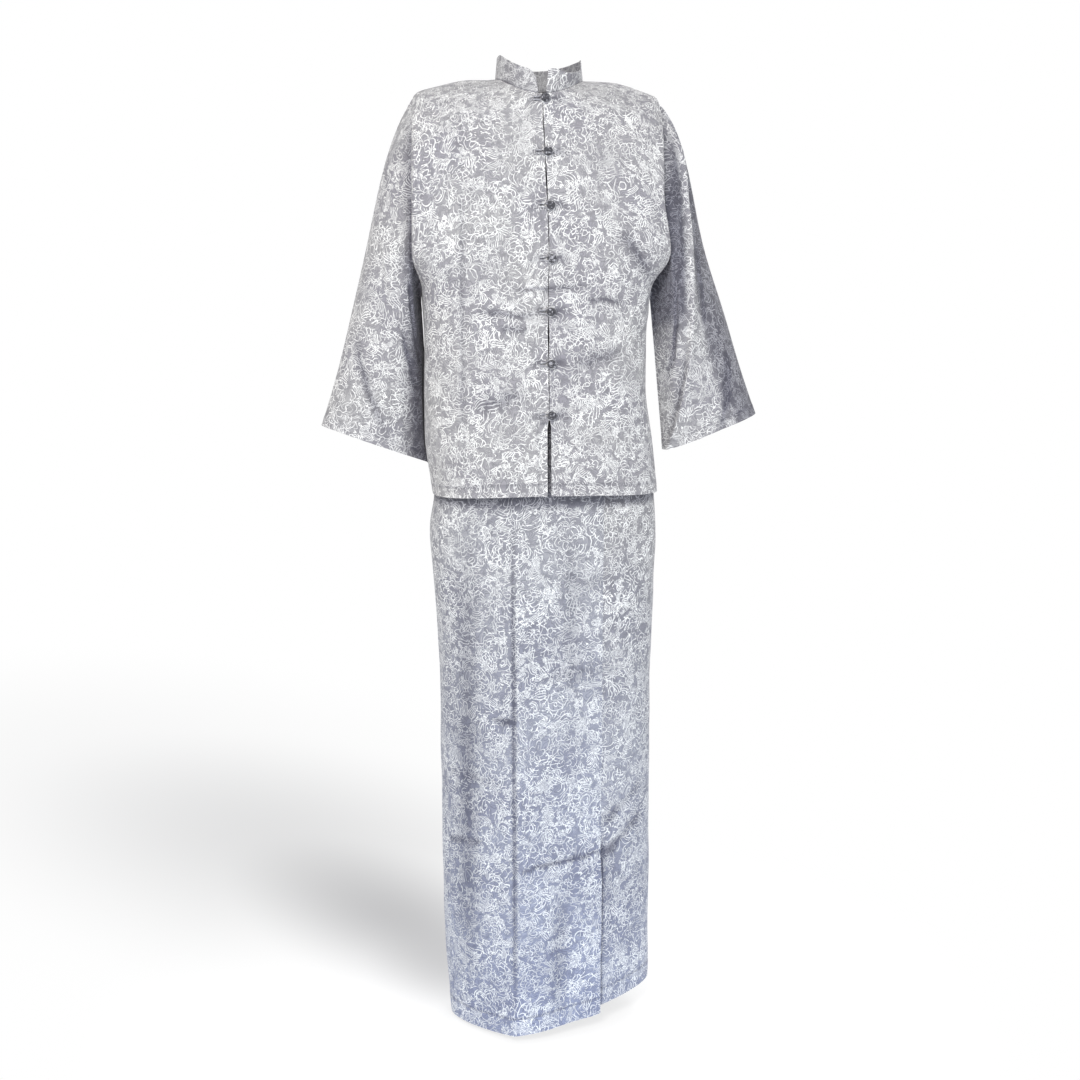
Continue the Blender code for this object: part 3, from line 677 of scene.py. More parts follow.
def make_handling():
    """Fine crumpling of worn, ironed cotton, as a height."""
    tree, inputs, leave = grouped(
        "Handling", [("Cloth", "NodeSocketVector", None)], [("Height", "NodeSocketFloat")]
    )
    broad = noise(tree, inputs["Cloth"], 24.0)
    fine = noise(tree, inputs["Cloth"], 75.0, 3.0)
    height = broad * 1.2 + fine * 0.35 + abs(fine - 0.5) * -0.5
    fill_inputs(tree, leave, {"Height": height})
    return tree


HANDLING = make_handling()


def toned(colour, share):
    """A colour made darker or paler by a share."""
    return (*(c * share for c in colour[:3]), 1.0)


def bumped(tree, height, distance, strength, below=None):
    """Raises the surface by a height, over another bump if there is one."""
    inputs = {"Height": height, "Distance": distance, "Strength": strength}
    if below is not None:
        inputs["Normal"] = below
    return add_node(tree, "Bump", inputs).outputs[0]


GROUND = (0.392, 0.388, 0.396, 1.0)
DEEP_GROUND = (0.290, 0.284, 0.316, 1.0)
WAX = (0.94, 0.94, 0.93, 1.0)
REVERSE_WAX = (0.66, 0.66, 0.67, 1.0)
# Painted light: the wax lines turn bluer towards the skirt's hem
WAX_PAINTED_LIGHT_TINT = (1.0, 1.05, 1.11, 1.0)
# The colour that painted shade darkens the cloth towards: in creases, folds, hollows, beside seams,
# under the arms and under the top's hem
CREASE_SHADE = (0.31, 0.31, 0.36, 1.0)
# How dark the dye lies beside the lines, how strong that and the fine dark lines are
HALO, SOFT_EDGE, DARK_LINE = 0.60, 0.90, 0.75


def printed_cotton(name, ground, deep, wax, contrast, fall=None):
    """Wax-printed cotton: dyed ground with cloudy patches, pale lines, weave, crumpling and painted
    shade in creases, folds and hollows, read from each mesh. Fall is a painted tint of dimmer,
    bluer light that comes in towards the hem."""
    material, tree, shader = new_material(name)
    flat = add_node(tree, "UVMap", uv_map="Cloth").outputs[0]
    drawn, weave, handled = (
        add_node(tree, "Group", {"Cloth": flat}, node_tree=group).outputs
        for group in (WAX_PRINT, PLAIN_WEAVE, HANDLING)
    )
    line, soft, dark, cloud = (Mark(tree, drawn[label]) for label in PRINT_MARKS)
    # Painted shade, read from an attribute of each mesh
    pressed = Mark(tree, add_node(tree, "Attribute", attribute_name="Painted shade").outputs["Fac"])
    dyed = colour_mix(tree, ((cloud - 0.32) / 0.36).share(), deep, ground)
    halo = (soft * (SOFT_EDGE * contrast)).most(dark * DARK_LINE)
    printed = colour_mix(tree, halo, dyed, toned(deep, HALO))
    # Painted light: over the lowest metre the cloth turns darker and bluer towards the hem
    if fall is not None:
        low = (across_and_up(tree, flat)[1] * -1.05 + 1.0).share()
        printed = colour_mix(tree, low, printed, fall, "MULTIPLY")
    printed = colour_mix(tree, line * contrast, printed, wax)
    if fall is not None:
        printed = colour_mix(tree, low, printed, WAX_PAINTED_LIGHT_TINT, "MULTIPLY")
    crumple = bumped(tree, handled["Height"], 0.0016, 0.55)
    finish = {
        "Base Color": colour_mix(tree, pressed.share(), printed, CREASE_SHADE, "MULTIPLY"),
        "Roughness": Mark(tree, weave["Slub"]) * 0.20 + 0.68,
        "Sheen Weight": 0.12,
        "Sheen Roughness": 0.5,
        "Specular IOR Level": 0.3,
        "Normal": bumped(tree, weave["Height"], 0.00012, 0.5, crumple),
    }
    fill_inputs(tree, shader, finish)
    return material


TOP_LOOKS = (
    printed_cotton("printed cotton, top", GROUND, DEEP_GROUND, WAX, 0.95),
    printed_cotton("printed cotton, top, wrong side", GROUND, DEEP_GROUND, REVERSE_WAX, 0.8),
)


def cloth_shell(name, grid, normals, thickness, flat, painted_shade, looks, ring=False, turned=False):
    """A thin closed shell: the grid is its right side and the wrong side lies one thickness in.
    Thickness is a number or a grid of numbers. Turned is for grids that run the other way round."""
    rows, columns = grid.shape[:2]
    inner = grid - normals * np.broadcast_to(thickness, (rows, columns))[:, :, None]
    count = rows * columns
    number = np.arange(count).reshape(rows, columns)
    wide = wrapped(number) if ring else number
    flat_number = np.arange(rows * flat.shape[1]).reshape(rows, flat.shape[1])

    def quads(table):
        corners = [table[:-1, :-1], table[:-1, 1:], table[1:, 1:], table[1:, :-1]]
        return np.stack(corners, axis=2).reshape(-1, 4)

    def rim(table, other):
        return np.stack([table[1:], table[:-1], other[:-1], other[1:]], axis=1)

    outer_faces, outer_flat = quads(wide), quads(flat_number)
    faces = [outer_faces, outer_faces[:, ::-1] + count]
    places = [outer_flat, outer_flat[:, ::-1]]
    edges = [(wide[0], flat_number[0]), (wide[-1][::-1], flat_number[-1][::-1])]
    if not ring:
        edges += [(wide[::-1, 0], flat_number[::-1, 0]), (wide[:, -1], flat_number[:, -1])]
    for line, flat_line in edges:
        faces.append(rim(line, line + count))
        places.append(rim(flat_line, flat_line))
    faces, places = np.concatenate(faces), np.concatenate(places)
    if turned:
        faces, places = faces[:, ::-1], places[:, ::-1]
    mesh = bpy.data.meshes.new(name)
    points = np.concatenate([grid.reshape(-1, 3), inner.reshape(-1, 3)])
    mesh.from_pydata(points.tolist(), [], faces.tolist())
    layer = mesh.uv_layers.new(name="Cloth")
    layer.data.foreach_set("uv", flat.reshape(-1, 2)[places.reshape(-1)].astype("f").reshape(-1))
    # The painted shade goes on the mesh as an attribute, and the cloth's materials darken by it
    crease = mesh.attributes.new("Painted shade", "FLOAT", "POINT")
    crease.data.foreach_set("value", np.tile(painted_shade.reshape(-1), 2).astype("f"))
    for look in looks:
        mesh.materials.append(look)
    wrong_side = np.zeros(len(faces), np.int32)
    wrong_side[len(outer_faces) : 2 * len(outer_faces)] = 1
    mesh.polygons.foreach_set("material_index", wrong_side)
    mesh.shade_smooth()
    mesh.set_sharp_from_angle(angle=math.radians(60))
    return added(name, mesh)


def takes_place(piece, node):
    """Everything sewn together is one body. Each piece takes the place of its plain solid."""
    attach(piece, "root")
    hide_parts(node)


def front_lift(points, side):
    """How far the front's creases and puckers stand out of or sink into its smooth form."""
    creases = list(FRONT_CREASES)
    for i in range(BUTTON_COUNT):
        z = FIRST_BUTTON_Z - BUTTON_STEP * i
        for reach, drop in BUTTON_PUCKERS:
            ends = (SIGN[side] * 0.004 - 0.003, z, SIGN[side] * reach, z - drop)
            creases.append((*ends, PUCKER_WIDTH, -PUCKER_DEPTH))
    return creased(points[:, :, 0], points[:, :, 2], creases)


def seam_dip(columns, first=False, last=False):
    """A shallow groove along the joined edges of a piece."""
    groove = -SEAM_DIP * bell(np.arange(columns), 0.8)
    return groove * first + groove[::-1] * last


# The armhole's seam sinks in, and the cloth beside it rolls up
ARMHOLE_GROOVE = 0.0040
ARMHOLE_ROLL, ARMHOLE_ROLL_AT = 0.0030, 0.019
ARMHOLE_SPREAD = 0.009
ARMHOLE_FALL = {"front": 1.0, "back": 0.5}
TOP_RIPPLES = dict(seed=7, shortest=0.07, longest=0.22, upright=0.55)
TOP_RIPPLE_HEIGHT = 0.0016


def along_armhole(rows):
    """How strongly the groove shows at each row: fully in the middle, not at the two ends."""
    share = np.clip((rows - UNDERARM_ROW) / ARMHOLE_ROWS, 0, 1)
    return np.sin(math.pi * share) ** 0.7


def body_relief(points, face, creases):
    """All the small relief of the top's body, fading out at the armholes and the neck, and the
    creases' own part of it. Close over the skirt the cloth doesn't sink in."""
    rows = np.arange(len(points))[:, None]
    to_edge = FRONT_COLUMNS - np.arange(points.shape[1])[None, :]
    beside_armhole = (rows > UNDERARM_ROW - 6) & (rows < SHOULDER_ROW + 4)
    free = np.where(beside_armhole, ease(to_edge / 8.0), 1.0) * ease((len(points) - 1 - rows) / 6.0)
    lift = (ripples(points, **TOP_RIPPLES) * TOP_RIPPLE_HEIGHT + creases) * free
    from_edge = to_edge * COLUMN_WIDTH
    groove = ARMHOLE_ROLL * bell(from_edge - ARMHOLE_ROLL_AT, ARMHOLE_SPREAD)
    groove = groove - ARMHOLE_GROOVE * bell(from_edge, ARMHOLE_SPREAD)
    lift = lift + groove * along_armhole(rows) * ARMHOLE_FALL[face]
    over_skirt = ease((points[:, :, 2] + 0.54) / 0.05)
    return np.where(lift < 0, lift * over_skirt, lift), creases * free


# Painted shade of creases: the depth at which a crease is fully shaded, and how dark it gets
CREASE_DEPTH, CREASE_DARKNESS = 0.0015, 0.84
STITCH_DARKNESS = 0.70
HEM_STEP, STITCH_DIMPLE = 0.0006, 0.00025


def painted_crease_shade(creases):
    """Painted shade in pressed creases, from the depth of their troughs."""
    return np.clip(-creases / CREASE_DEPTH, 0, 1) * CREASE_DARKNESS


def stitched_shade(up, depth):
    """The line of a hem's stitching, sunk in the cloth."""
    return STITCH_DARKNESS * bell(up - depth + 0.002, 0.0016)


def hem_thickness(up, depth):
    """Thickness of cloth whose lowest part is turned up and stitched."""
    return np.where(up < depth, HEM_THICKNESS, CLOTH_THICKNESS)


def hem_lift(up, depth):
    """The turned-up hem stands out a little, and dimples along its stitching."""
    step = HEM_STEP * ease((depth + 0.0015 - up) / 0.0025)
    return step - STITCH_DIMPLE * bell(up - depth + 0.003, 0.0018)


quarters, quarter_normals = {}, {}
for side in ("right", "left"):
    for face in ("front", "back"):
        grid = quarter(side, face)
        outward = -1 if (side == "right") != (face == "back") else 1
        quarters[side, face] = grid
        quarter_normals[side, face] = normals_of(grid) * outward

FOLD_BIAS = 2.0


def share_normals(first, second):
    """Directions that two pieces share along a seam. Where the cloth folds back on itself, they
    turn down out of the fold."""
    total = first + second
    total[:, 2] -= FOLD_BIAS * np.maximum(0, -(first * second).sum(axis=1))
    return unit(total)


for side in ("right", "left"):
    front, back = quarter_normals[side, "front"], quarter_normals[side, "back"]
    for part in (slice(0, UNDERARM_ROW + 1), slice(SHOULDER_ROW, None)):
        front[part, -1] = back[part, -1] = share_normals(front[part, -1], back[part, -1])

# At the armholes the cloth turns half way out of the body and into the sleeve
ARMHOLE_BLEND = 4
for side in ("right", "left"):
    rims = [quarters[side, face][UNDERARM_ROW : SHOULDER_ROW + 1, -1] for face in ("front", "back")]
    middle = np.concatenate(rims).mean(axis=0)
    rows = slice(UNDERARM_ROW + 1, SHOULDER_ROW)
    for face, rim in zip(("front", "back"), rims):
        normals = quarter_normals[side, face]
        shared = share_normals(normals[rows, -1].copy(), unit((rim - middle) * (0, 1, 1))[1:-1])
        for k in range(ARMHOLE_BLEND):
            own = k / ARMHOLE_BLEND
            normals[rows, -1 - k] = unit(shared * (1 - own) + normals[rows, -1 - k] * own)


def pulled(grid, first=False, last=False, bottom=False, top=False):
    """Moves edges of a piece half a seam's gap into its own cloth."""
    grid = grid.copy()
    across = slice(None)
    edges = [(first, (across, 0), (across, 1)), (last, (across, -1), (across, -2))]
    for wanted, edge, inside in edges + [(bottom, 0, 1), (top, -1, -2)]:
        if wanted:
            grid[edge] += unit(grid[inside] - grid[edge]) * SEAM_GAP / 2
    return grid


THREAD_COLOUR = (0.34, 0.34, 0.37, 1.0)


def make_thread_material():
    """Matt sewing cotton, twisted, in the grey of the cloth."""
    material, tree, shader = new_material("sewing thread")
    place = add_node(tree, "TexCoord").outputs["Object"]
    fleck = noise(tree, place, 900.0, dimensions="3D")
    tone = colour_mix(tree, fleck, THREAD_COLOUR, toned(THREAD_COLOUR, 1.25))
    fill_inputs(tree, shader, {"Base Color": tone, "Roughness": fleck * 0.2 + 0.6})
    return material


THREAD = make_thread_material()
STITCH_PITCH = 0.0032
STITCH_LENGTH = 0.0024
STITCH_HALF = 0.00022
LENS_FACES = [(0, 2, 4), (0, 4, 3), (0, 3, 5), (0, 5, 2)]
LENS_FACES += [(1, 4, 2), (1, 3, 4), (1, 5, 3), (1, 2, 5)]


def stitch_row(name, slot, grid, normals, row=None, column=None, part=slice(None), ring=False):
    """A row of machine stitches along a row or a column of a piece, or between two of them. Each
    stitch is a small lens of thread."""
    at, axis = (row, 0) if column is None else (column, 1)
    low = int(at)
    past = at - low
    points = np.take(grid, low, axis=axis) * (1 - past) + np.take(grid, low + 1, axis=axis) * past
    points, ways = points[part], np.take(normals, low, axis=axis)[part]
    if ring:
        points, ways = np.concatenate([points, points[:1]]), np.concatenate([ways, ways[:1]])
    lengths = lengths_along(points)
    verts, faces = [], []
    for k in range(int(lengths[-1] / STITCH_PITCH)):
        middle = (k + 0.5) * STITCH_PITCH
        ends = [middle - STITCH_LENGTH / 2, middle, middle + STITCH_LENGTH / 2]
        a, m, b = (np.array([np.interp(e, lengths, points[:, i]) for i in range(3)]) for e in ends)
        out = np.array([np.interp(middle, lengths, ways[:, i]) for i in range(3)]) * STITCH_HALF
        aside = unit(np.cross(b - a, out)) * STITCH_HALF
        faces += [tuple(len(verts) + i for i in face) for face in LENS_FACES]
        verts += [a, b, m + aside, m - aside, m + out * 1.4, m - out * 0.6]
    mesh = bpy.data.meshes.new(name)
    mesh.from_pydata([tuple(v) for v in verts], [], faces)
    mesh.materials.append(THREAD)
    mesh.shade_smooth()
    stitches = added(name, mesh)
    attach(stitches, "root")
    return stitches


def row_at(flat, up, column):
    """The row of a piece that lies this far up its flat cloth."""
    return np.interp(up, flat[:, column, 1], np.arange(len(flat)))


# The front edge rolls in a little, and is stitched from near the hem to below the bust
EDGE_ROLL, EDGE_ROLL_WIDTH = 0.0004, 0.004
EDGE_STITCH_COLUMN = 5.5
EDGE_STITCH_ROWS = slice(4, 46)
FACING_WIDTH = 0.013
FACING_TOP = LAST_BUTTON_Z - 0.011
PRESSED_WIDTH = 0.0014
UNDERARM_SHADE = {"right": 0.30, "left": 0.85}


def facing_shade(grid, side):
    """Painted shade along the edge of the facing inside the slit, as a soft pressed line."""
    if side == "left":
        return np.zeros(grid.shape[:2])
    in_from_edge = np.abs(grid[:, :, 0] - grid[:, :1, 0])
    z = grid[:, :, 2]
    down = bell(in_from_edge - FACING_WIDTH, PRESSED_WIDTH) * (z < FACING_TOP)
    bar = bell(z - FACING_TOP, PRESSED_WIDTH) * (in_from_edge < FACING_WIDTH + 0.001)
    return np.maximum(down * 0.40, bar * 0.75)


def make_front(side):
    """Builds one front with its hem, and stitches its hem and its front edge."""
    grid = pulled(quarters[side, "front"], last=True, top=True)
    normals = quarter_normals[side, "front"]
    flat = cloth_map(grid)
    across, up = flat[:, :, 0], flat[:, :, 1]
    lift, creases = body_relief(grid, "front", front_lift(grid, side))
    lift = lift + seam_dip(grid.shape[1], last=True) + hem_lift(up, TOP_HEM_DEPTH)
    lift = lift - EDGE_ROLL * bell(across, EDGE_ROLL_WIDTH)
    grid = grid + normals * lift[:, :, None]
    from_seam = (FRONT_COLUMNS - np.arange(grid.shape[1])) * COLUMN_WIDTH
    by_underarm = bell(grid[:, :, 2] + 0.215, 0.060)
    shade = painted_crease_shade(creases) + stitched_shade(up, TOP_HEM_DEPTH) + facing_shade(grid, side)
    shade = shade + UNDERARM_SHADE[side] * bell(from_seam, 0.016) * by_underarm
    name = "front_" + side
    shell = cloth_shell(
        name,
        grid,
        normals,
        hem_thickness(up, TOP_HEM_DEPTH),
        flat * (-1, 1) if side == "right" else flat + (0.031, 0.0),
        shade,
        TOP_LOOKS,
        turned=side == "right",
    )
    takes_place(shell, "top_front_" + side)
    hem_row = row_at(flat, TOP_HEM_DEPTH - 0.002, 20)
    hem = stitch_row(name + "_hem_stitches", "top_cloth", grid, normals, row=hem_row)
    edge = stitch_row(
        name + "_edge_stitches",
        "top_cloth",
        grid,
        normals,
        column=EDGE_STITCH_COLUMN,
        part=EDGE_STITCH_ROWS,
    )


make_front("right")


# The top's wearer's-left front. It is the mirror cut of the right one, sewn in the same way, and
# the buttons are sewn to its edge.

make_front("left")


# The top's back, one piece of the same cotton from side seam to side seam. It is cut on the fold,
# joined to the fronts at the sides and shoulders, and hemmed as they are.

BACK_CREASES = [
    (-0.060, -0.060, -0.062, -0.560, 0.0035, 0.0010),
    (0.062, -0.070, 0.060, -0.560, 0.0035, 0.0010),
    (-0.130, -0.290, 0.120, -0.287, 0.0050, -0.0015),
    (-0.125, -0.281, 0.115, -0.279, 0.0060, 0.0009),
    (-0.150, -0.260, -0.070, -0.190, 0.0120, 0.0020),
    (0.150, -0.262, 0.070, -0.185, 0.0120, 0.0020),
    (-0.150, -0.290, -0.060, -0.350, 0.0120, -0.0016),
    (0.150, -0.290, 0.070, -0.360, 0.0120, -0.0016),
    (-0.080, -0.110, 0.080, -0.118, 0.0140, 0.0012),
    (-0.110, -0.450, 0.020, -0.440, 0.0120, -0.0010),
]


def both_halves(left, right):
    """Joins the two quarters of the back at its middle."""
    return np.concatenate([left[:, ::-1], right[:, 1:]], axis=1)


back_quarters = [quarters[side, "back"] for side in ("left", "right")]
back_grid = pulled(both_halves(*back_quarters), first=True, last=True, top=True)
back_normals = both_halves(*(quarter_normals[side, "back"] for side in ("left", "right")))
middle_way = back_normals[:, FRONT_COLUMNS - 1] + back_normals[:, FRONT_COLUMNS + 1]
back_normals[:, FRONT_COLUMNS] = unit(middle_way)
reliefs = [
    body_relief(grid, "back", creased(grid[:, :, 0], grid[:, :, 2], BACK_CREASES))
    for grid in back_quarters
]
back_lift, back_creases = (both_halves(*halves) for halves in zip(*reliefs))
back_flat = cloth_map(back_grid)
back_up = back_flat[:, :, 1]
back_lift = back_lift + seam_dip(back_grid.shape[1], first=True, last=True)
back_lift = back_lift + hem_lift(back_up, TOP_HEM_DEPTH)
back_grid = back_grid + back_normals * back_lift[:, :, None]
back_shell = cloth_shell(
    "back",
    back_grid,
    back_normals,
    hem_thickness(back_up, TOP_HEM_DEPTH),
    back_flat + (0.60, 0.0),
    painted_crease_shade(back_creases) + stitched_shade(back_up, TOP_HEM_DEPTH),
    TOP_LOOKS,
)
takes_place(back_shell, "top_back")
hem_row = row_at(back_flat, TOP_HEM_DEPTH - 0.002, FRONT_COLUMNS)
back_hem = stitch_row("back_hem_stitches", "top_cloth", back_grid, back_normals, row=hem_row)


# The sleeves, wide and straight to below the elbow, each one folded piece sewn into its armhole.
# They hang away from the body on the wearer's arms, with a long fold where the arm bends the
# cloth, and their cuffs are turned in and stitched.

SLEEVE_COLUMNS = "outer_x outer_y outer_z inner_x inner_y inner_z half_depth swell swell_at swing"
SLEEVE_FORMS = {
    "right": (0.320, 0.030, -0.487, 0.154, 0.055, -0.549, 0.046, 0.012, 0.22, 0.022),
    "left": (0.331, 0.000, -0.473, 0.188, 0.005, -0.527, 0.046, 0.015, 0.12, 0.0),
}
SLEEVE_ROWS = 160
SLEEVE_ROW_BIAS = 1.15
SEAM_BLEND = 7
SLEEVE_CLEAR = 0.0016
UNDERARM_EASE = 0.0006
CUFF_DEPTH = 0.016

# Creases of each sleeve: share round it (0 the top line, 0.25 the front, 0.5 the underarm) and
# share down it at both ends, width in metres, and height
SLEEVE_CREASES = {
    "right": [
        (0.235, 0.06, 0.330, 0.98, 0.0045, 0.0012),
        (0.300, 0.18, 0.420, 0.34, 0.0120, -0.0030),
        (0.240, 0.36, 0.400, 0.46, 0.0110, -0.0016),
        (0.120, 0.30, 0.240, 0.36, 0.0100, 0.0015),
        (0.080, 0.64, 0.260, 0.72, 0.0120, -0.0014),
        (0.730, 0.10, 0.690, 0.95, 0.0050, 0.0015),
        (0.640, 0.30, 0.860, 0.42, 0.0120, -0.0018),
        (0.600, 0.60, 0.820, 0.66, 0.0120, 0.0014),
    ],
    "left": [
        (0.030, 0.02, 0.120, 0.20, 0.0070, 0.0026),
        (0.120, 0.20, 0.215, 0.45, 0.0070, 0.0030),
        (0.215, 0.45, 0.400, 0.95, 0.0070, 0.0026),
        (0.250, 0.16, 0.420, 0.34, 0.0120, -0.0030),
        (0.300, 0.40, 0.430, 0.52, 0.0110, -0.0012),
        (0.060, 0.40, 0.180, 0.50, 0.0110, -0.0014),
        (0.090, 0.70, 0.260, 0.80, 0.0120, -0.0015),
        (0.730, 0.10, 0.690, 0.95, 0.0050, 0.0015),
        (0.640, 0.28, 0.860, 0.40, 0.0120, -0.0018),
        (0.620, 0.62, 0.820, 0.68, 0.0120, 0.0014),
    ],
}


BODY_LEVELS = np.linspace(HEM, SHOULDER, 600)
BODY_EDGE_Z = read(TOP, "z_edge", BODY_LEVELS)


def body_width(side, y, z):
    """How far the body reaches sideways at a depth and height."""
    level = np.interp(z, BODY_EDGE_Z, BODY_LEVELS)
    in_front = y < read(TOP, "y_edge_front", level)
    edge = np.where(in_front, read(TOP, "y_edge_front", level), read(TOP, "y_edge_back", level))
    middle = np.where(in_front, read(TOP, "y_front", level), read(TOP, "y_back", level))
    share = np.clip((y - edge) / (middle - edge), 0, 1)
    power = read(TOP, "square", level)
    return read(TOP, "x_" + side, level) * np.maximum(1 - share**power, 0.0) ** (1 / power)


def around_armhole(table, side):
    """The edge of the front and back along an armhole: down the front, up the back."""
    front, back = table[side, "front"][:, -1], table[side, "back"][:, -1]
    down = front[UNDERARM_ROW : SHOULDER_ROW + 1][::-1]
    return np.concatenate([down, back[UNDERARM_ROW + 1 : SHOULDER_ROW]])


def sleeve_grid(side):
    """A tube from the armhole down to the cuff; its columns go round from the shoulder point
    down the front to the underarm and up the back."""
    form = dict(zip(SLEEVE_COLUMNS.split(), SLEEVE_FORMS[side]))
    sign = SIGN[side]
    loop = around_armhole(quarters, side)
    outer = np.array([sign * form["outer_x"], form["outer_y"], form["outer_z"]])
    inner = np.array([sign * form["inner_x"], form["inner_y"], form["inner_z"]])
    centre, reach = (outer + inner) / 2, (outer - inner) / 2
    depth = unit(np.cross((0, 0, 1), reach)) * form["half_depth"]
    if depth[1] > 0:
        depth = -depth
    turn = 2 * math.pi * np.arange(len(loop)) / len(loop)
    cuff = centre + reach * np.cos(turn)[:, None] + depth * np.sin(turn)[:, None]
    peak = form["swell_at"]
    fall = (1 - peak) / peak
    s = (np.linspace(0, 1, SLEEVE_ROWS + 1) ** SLEEVE_ROW_BIAS)[:, None]
    bulge = form["swell"] * s / peak * ((1 - s) / (1 - peak)) ** fall
    swell = bulge * np.maximum(np.cos(turn), 0.0)
    grid = loop[None] * (1 - s[:, :, None]) + cuff[None] * s[:, :, None]
    grid[:, :, 0] += sign * swell
    grid[:, :, 2] += 0.3 * swell
    inward = np.maximum(-np.cos(turn), 0.0)
    grid[:, :, 1] += form["swing"] * ease(s / 0.15) * (1 - s) * inward**2
    least = body_width(side, grid[:, :, 1], grid[:, :, 2]) + SLEEVE_CLEAR * ease(s / 0.1)
    inside = (np.abs(grid[:, :, 0]) < least) & (s > 0)
    grid[:, :, 0] = np.where(inside, sign * least, grid[:, :, 0])
    grid[:, :, 0] += sign * UNDERARM_EASE * inward**4
    return grid, s, turn


def sleeve_map(grid):
    """Where each point lies on the flat sleeve, in metres: round it, and down its length."""
    way = unit(grid[-1].mean(axis=0) - grid[0].mean(axis=0))
    wide = wrapped(grid)
    step = np.diff(wide, axis=1)
    step = step - (step @ way)[:, :, None] * way
    across = np.zeros(wide.shape[:2])
    across[:, 1:] = np.cumsum(np.linalg.norm(step, axis=2), axis=1)
    return np.stack([across, -(wide @ way)], axis=2)


# The long fold of the wearer's left sleeve: share down the sleeve and share round it
LONG_FOLD = [(0.0, 0.02), (0.10, 0.07), (0.20, 0.12), (0.45, 0.215), (0.70, 0.31), (1.0, 0.43)]
LONG_FOLD_RIDGE = 0.0050
LONG_FOLD_WIDTH = 0.010
LONG_FOLD_HOLLOW = 0.0105
LONG_FOLD_SHADE = 0.80
DEEP_FOLD_SHADE = 1.0
# The part behind the fold that lies in shade: share down the sleeve and share round it
SHADED_FROM = [(0.0, 0.02), (0.10, 0.07), (0.20, 0.12), (0.45, 0.21), (0.70, 0.23), (1.0, 0.21)]
SEAM_SHADE = {"right": 0.85, "left": 0.55}
# Reach of the shade beside the body, at the armhole and below it
SEAM_SHADE_WIDTH = {"right": (0.0085, 0.024), "left": (0.0120, 0.0140)}
INNER_SHADE = {"right": 0.40, "left": 0.0}


def long_fold(around, down, girth, z):
    """The cloth stands up along the fold and falls back between it and the sleeve's top line.
    Gives the lift, and how much the part behind the fold lies in shade."""
    at = np.interp(down, *zip(*LONG_FOLD))
    ridge = LONG_FOLD_RIDGE * bell((around - at) * girth, LONG_FOLD_WIDTH)
    inside = np.clip(around / np.maximum(at, 0.02), 0, 1)
    hollow = LONG_FOLD_HOLLOW * np.sin(math.pi * inside) ** 1.3
    edge = np.interp(down, *zip(*SHADED_FROM))
    behind = ease((edge - around) * girth / (0.010 + 0.030 * down)) + ease((around - 0.80) / 0.15)
    deep = ease((around - at) * girth / 0.035) * (around < 0.52) * ease((z + 0.375) / 0.07)
    shade = LONG_FOLD_SHADE * behind * ease(down / 0.2) + DEEP_FOLD_SHADE * deep * ease(down / 0.10)
    return (ridge - hollow) * ease(down / 0.12), shade


SLEEVE_RIPPLES = {"right": 11, "left": 12}
SLEEVE_RIPPLE_HEIGHT = 0.0022


